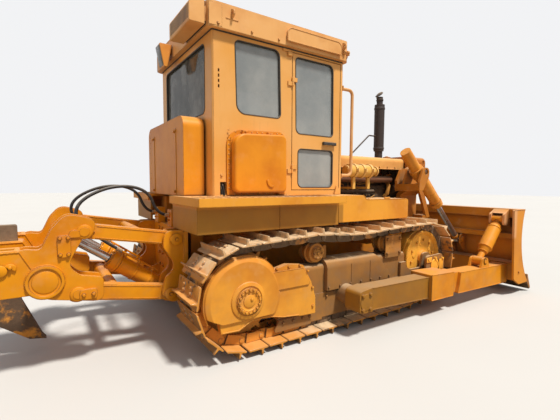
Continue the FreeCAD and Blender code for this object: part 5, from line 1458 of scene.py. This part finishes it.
cushion = ((360, 1755, 30), (360, 1880, 40), (890, 1900, 50), (890, 1765, 30))
back_rest = ((330, 1850, 30), (210, 2430, 50), (330, 2430, 50), (450, 1860, 30))
panel_seams = ((1, -0.15), (1, 0.15))
seat_cushion = stuffed("seat_cushion", cushion, 270, panel_seams + ((0, shaft_x + 0.62),))
stuffed("seat_back", back_rest, 260, panel_seams + ((2, 2.2),))
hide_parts("seat")
rests = Workpiece()
for side in (-1, 1):
    pad = rounded_outline(((384, 2034, 20), (384, 2088, 20), (786, 2088, 28), (786, 2034, 28)), 5)
    rests.prism(pad, "xz", *sorted((side * 278, side * 352)), 14)
rests.done("seat_arm_rests", vinyl, "root")
console_black = rubber_finish("console black", (0.030, 0.030, 0.030), 0.45)
dress(console_black, "controls")
stand = Workpiece()
for side in (-1, 1):
    stand.block((384, 436), sorted((side * 274, side * 326)), (1802, 2036), 8)
stand.block((400, 860), (-235, 235), (1742, 1762), 6)
stand.block((440, 790), (-165, 165), (1491, 1512), 5)
stand.turned(((0, 12), (60, 12), (64, 24), (90, 24), (94, 14)), (820, -236, 1752), (0, -0.2, -1), 14)
stand.done("seat_stand", console_black, "root")
bellows = Workpiece()
fold_rise = 19.2
folds = [(1512 + step * fold_rise, 0 if step % 2 else 14) for step in range(13)]
square = ((445, -150, 30), (445, 150, 30), (785, 150, 30), (785, -150, 30))
fold_line = rounded_outline(square, 4)
bellows.loft([[placed("xy", p.x, p.y, z) for p in shrunk(fold_line, 14 - swell)] for z, swell in folds])
bellows.done("seat_bellows", rubber, "root")
small = Workpiece()
for y, lean, top in ((-90, 1150, 2010), (90, 1150, 2010), (-250, 1180, 1960)):
    foot = Vector((1350, y, 1500))
    run = Vector((lean, y, top)) - foot
    collars = ((0.10, 36), (0.14, 30), (0.17, 33), (0.20, 26), (0.23, 29), (0.27, 18))
    small.turned([(share * run.length, radius) for share, radius in collars], foot, run, 18)
for y in (-210, 210):
    for x in range(1186, 1296, 18):
        small.block((x, x + 9), (y - 44, y + 44), (1579, 1585), 1.5)
for x in range(-60, 1240, 40):
    small.block((x, x + 18), (-700, 700), (1490.5, 1496), 1.5)
small.done("floor_mat_and_boots", rubber, "root")
gauge_rims = Workpiece()
dash_slope = Vector((-0.225, 0, 0.974))
for y in (-190, -70, 50, 170):
    centre = (1335, y, 2054)
    gauge_rims.turned(((-2, 42), (4, 42), (6, 38), (2, 36), (2, 0.5)), centre, dash_slope, 24)
gauge_rims.done("dash_gauges", console_black, "root")

# Ripper
# A bracket with paired ears on the case carries two links and a beam with three holders, of which the
# middle one has its shank. The cast and cut plates are welded and painted a clean strong orange.
ripper_orange = (0.83, 0.315, 0.004)
ripper_paint = worn_paint("ripper paint", ripper_orange, 0.3, 0.4, 0.3, 0.42)
shank_steel = track_steel("shank steel", -0.9, 0.6, 0.3)
dress(ripper_paint, "ripper_bracket", "ripper_upper_link", "ripper_lower_link", "ripper_beam")
dress(shank_steel, "ripper_shank")
upper_pin = (-440.0, 1035.0)
lower_pin = (-500.0, 525.0)
link_step = (-760.0, 125.0)
cross_tube = (-1481.0, 784.0)
shank_pin = (-1755, 905)
latch_bolt = (-1695, 918)
cheek_seam = ((-1562, 700), (-1562, 890), (-1636, 1035), (-1990, 1035))
bracket = Workpiece()
for x, z in (upper_pin, lower_pin):
    bracket.turned(((0, 56), (10, 56), (14, 50), (14, 20), (10, 18), (10, 0.5)), (x, -637, z), to_side, 28)
    bracket.bolt((x, -651, z), to_side, 24)
    bracket.block((x - 62, x - 30), (-646, -630), (z - 20, z + 20), 4)
for low in (-630, -473):
    for y in (low - 1, low + 34):
        bracket.weld(((-372, y, 470), (-372, y, 1100)), 6)
for y in (-200, -80):
    for z in (500, 640, 780, 920, 1060):
        bracket.bolt((-370, y, z), to_rear, 30)
bracket.turned(((0, 26), (10, 26), (12, 20), (34, 20), (38, 15)), (-390, -250, 1235), to_rear, 6)
bracket.turned(((0, 9), (24, 9)), (-388, -250, 1180), to_rear, 6)
bracket.weld(((-391, -318, 1120), (-391, -182, 1120)), 5)
bracket.done("ripper_bracket_fixings", ripper_paint, "root", "both")
for link, pin, depth in (("ripper_upper_link", upper_pin, 126), ("ripper_lower_link", lower_pin, 138)):
    arm_beads = Workpiece()
    start = Vector((pin[0], 0, pin[1]))
    run = Vector((link_step[0], 0, link_step[1]))
    across = Vector((link_step[1], 0, -link_step[0])).normalized()
    for edge_side in (-1, 1):
        at = across * (edge_side * (depth / 2 - 14))
        for y in (-586, -484):
            first = start + run * 0.12 + at + Vector((0, y, 0))
            last = start + run * 0.88 + at + Vector((0, y, 0))
            arm_beads.weld((first, last), 3.5)
    grease = start + run * 0.9 + Vector((0, -586, 0))
    arm_beads.turned(((0, 8), (5, 8), (7, 4), (12, 4)), grease, to_side, 8)
    arm_beads.done(link + "_beads", ripper_paint, link, "both")
beam = Workpiece()
for x, z in ((-1374, 1120), (-1318, 1120), (-1374, 988), (-1318, 988)):
    beam.bolt((x, -664, z), to_side, 24)
for x in (-1222, -1150):
    beam.bolt((x, -672, 642), to_side, 26)
for pin in (upper_pin, lower_pin):
    x = pin[0] + link_step[0]
    z = pin[1] + link_step[1]
    beam.turned(((0, 60), (6, 60), (10, 54), (10, 24), (5, 20), (5, 0.5)), (x, -650, z), to_side, 30)
cap = (cross_tube[0], -662, cross_tube[1])
beam.turned(((0, 90), (3, 90), (5, 84), (5, 0.5)), cap, to_side, 32)
beam.weld([(x, -652, z) for x, z in arc(cross_tube, 134, 0, 360, 48)], 5, 20)
for y in (-603, -446):
    beam.weld([(x, y, z) for x, z in arc(cross_tube, 114, 0, 360, 36)], 6, 20)
nub = arc(latch_bolt, (40, 36), 150, -40, 8)
beam.prism([Vector(point) for point in nub], "xz", -668, -650, 4)
beam.bolt((latch_bolt[0], -668, latch_bolt[1] + 8), to_side, 22)
beam.turned(((0, 44), (6, 44), (10, 38), (10, 0.5)), (shank_pin[0], -662, shank_pin[1]), to_side, 26)
for y in (-652, -438):
    beam.weld([(x, y, z) for x, z in cheek_seam], 5)
beam.done("ripper_beam_fixings", ripper_paint, "ripper_beam", "both")
holder = Workpiece()
for y in (-107, 107):
    out = Vector((0, math.copysign(1, y), 0))
    pin_end = Vector((shank_pin[0], y, shank_pin[1])) + out * 4
    holder.turned(((0, 46), (8, 46), (12, 40), (12, 0.5)), pin_end, out, 26)
    holder.weld([(x, y, z) for x, z in cheek_seam], 5)
holder.done("ripper_holder_fixings", ripper_paint, "ripper_beam")
ripper_base = Vector((-500, -345, 525))
ripper_eye = Vector((-1310, -345, 1092))
ripper_run = (ripper_eye - ripper_base).normalized()
ripper_gland = 580.0
for side in ("right", "left"):
    dress(ripper_paint, "ripper_barrel_" + side)
    dress(chrome, "ripper_rod_" + side)
mouth = ripper_base + ripper_run * ripper_gland
sleeve = Workpiece()
sleeve.turned(((-80, 93), (-74, 97), (-62, 97), (-56, 93)), mouth, ripper_run, 32, 86)
sleeve.turned(((0, 62), (7, 60), (10, 50)), mouth, ripper_run, 32, 38)
sleeve.bolts_about(8, 76, mouth, ripper_run, 17)
for reach in (178, 330, 482):
    clamp = ((-11, 81), (-9, 85), (9, 85), (11, 81))
    sleeve.turned(clamp, ripper_base + ripper_run * reach, ripper_run, 32, 75)
sleeve.turned(((0, 46), (16, 60), (22, 80)), ripper_base + ripper_run * 56, ripper_run, 28)
sleeve.done_each_side("ripper_gland", ripper_paint, "ripper_barrel")
seal = Workpiece()
seal.turned(((10, 46), (15, 43), (17, 40)), mouth, ripper_run, 28, 37)
seal.done_each_side("ripper_wiper", rubber, "ripper_barrel")
knuckle = Workpiece()
knuckle.turned(((-84, 37), (-78, 48), (-60, 50), (-54, 44)), ripper_eye, ripper_run, 28)
knuckle.done_each_side("ripper_rod_eye", ripper_paint, "ripper_rod")

# Ripper hoses
# A black hydraulic hose runs from a block on each side of the case, over the upper link and down to the
# feed pipe of each ripper cylinder. Crimped steel ferrules hold both its ends.
hose_radius = 15.0
hose_points = (
    (-0.390, -0.250, 1.235), (-0.510, -0.250, 1.235), (-0.600, -0.258, 1.505), (-0.930, -0.280, 1.545),
    (-1.250, -0.320, 1.380), (-1.215, -0.345, 1.160), (-0.8712, -0.345, 0.9193),
)
hose_rubber = rubber_finish("hose rubber", (0.020, 0.020, 0.021), 0.45)
plated = track_steel("plated fittings", 0.0, 1.0)
for side, sign in (("right", 1), ("left", -1)):
    route = bpy.data.curves.new("hose_route_" + side, "CURVE")
    route.dimensions = "3D"
    route.resolution_u = 24
    spline = route.splines.new("NURBS")
    spline.points.add(len(hose_points) - 1)
    for point, (x, y, z) in zip(spline.points, hose_points):
        point.co = (x + shaft_x, sign * y, z, 1)
    spline.order_u = 3
    spline.use_endpoint_u = True
    carrier = bpy.data.objects.new("hose_route_" + side, route)
    bpy.context.scene.collection.objects.link(carrier)
    bpy.context.view_layer.update()
    depsgraph = bpy.context.evaluated_depsgraph_get()
    line_mesh = bpy.data.meshes.new_from_object(carrier.evaluated_get(depsgraph))
    path = [vertex.co.copy() for vertex in line_mesh.vertices]
    bpy.data.objects.remove(carrier)
    line = [Vector(((p.x - shaft_x) * 1000, sign * p.y * 1000, p.z * 1000)) for p in path]
    hose = Workpiece()
    hose.tube(line, hose_radius, 16)
    hose_piece = hose.done("ripper_hose_skin_" + side, hose_rubber, None, side)
    barrel_end = ("barrel", "ripper_barrel_" + side, line[::-1][:2])
    for name, body, ends in (("rear", "root", line[:2]), barrel_end):
        run = (ends[1] - ends[0]).normalized()
        ferrule = Workpiece()
        ferrule.turned(((0, 13), (0, 20), (14, 20), (16, 18), (44, 18), (46, 19), (50, 19), (52, 15.5)),
                       ends[0], run, 20)
        ferrule.turned(((-2, 22), (13, 22)), ends[0], run, 6)
        fitting = ferrule.done("hose_fitting_" + name + "_" + side, plated, body, side)
    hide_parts("ripper_hose_" + side)
    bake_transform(hose_piece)
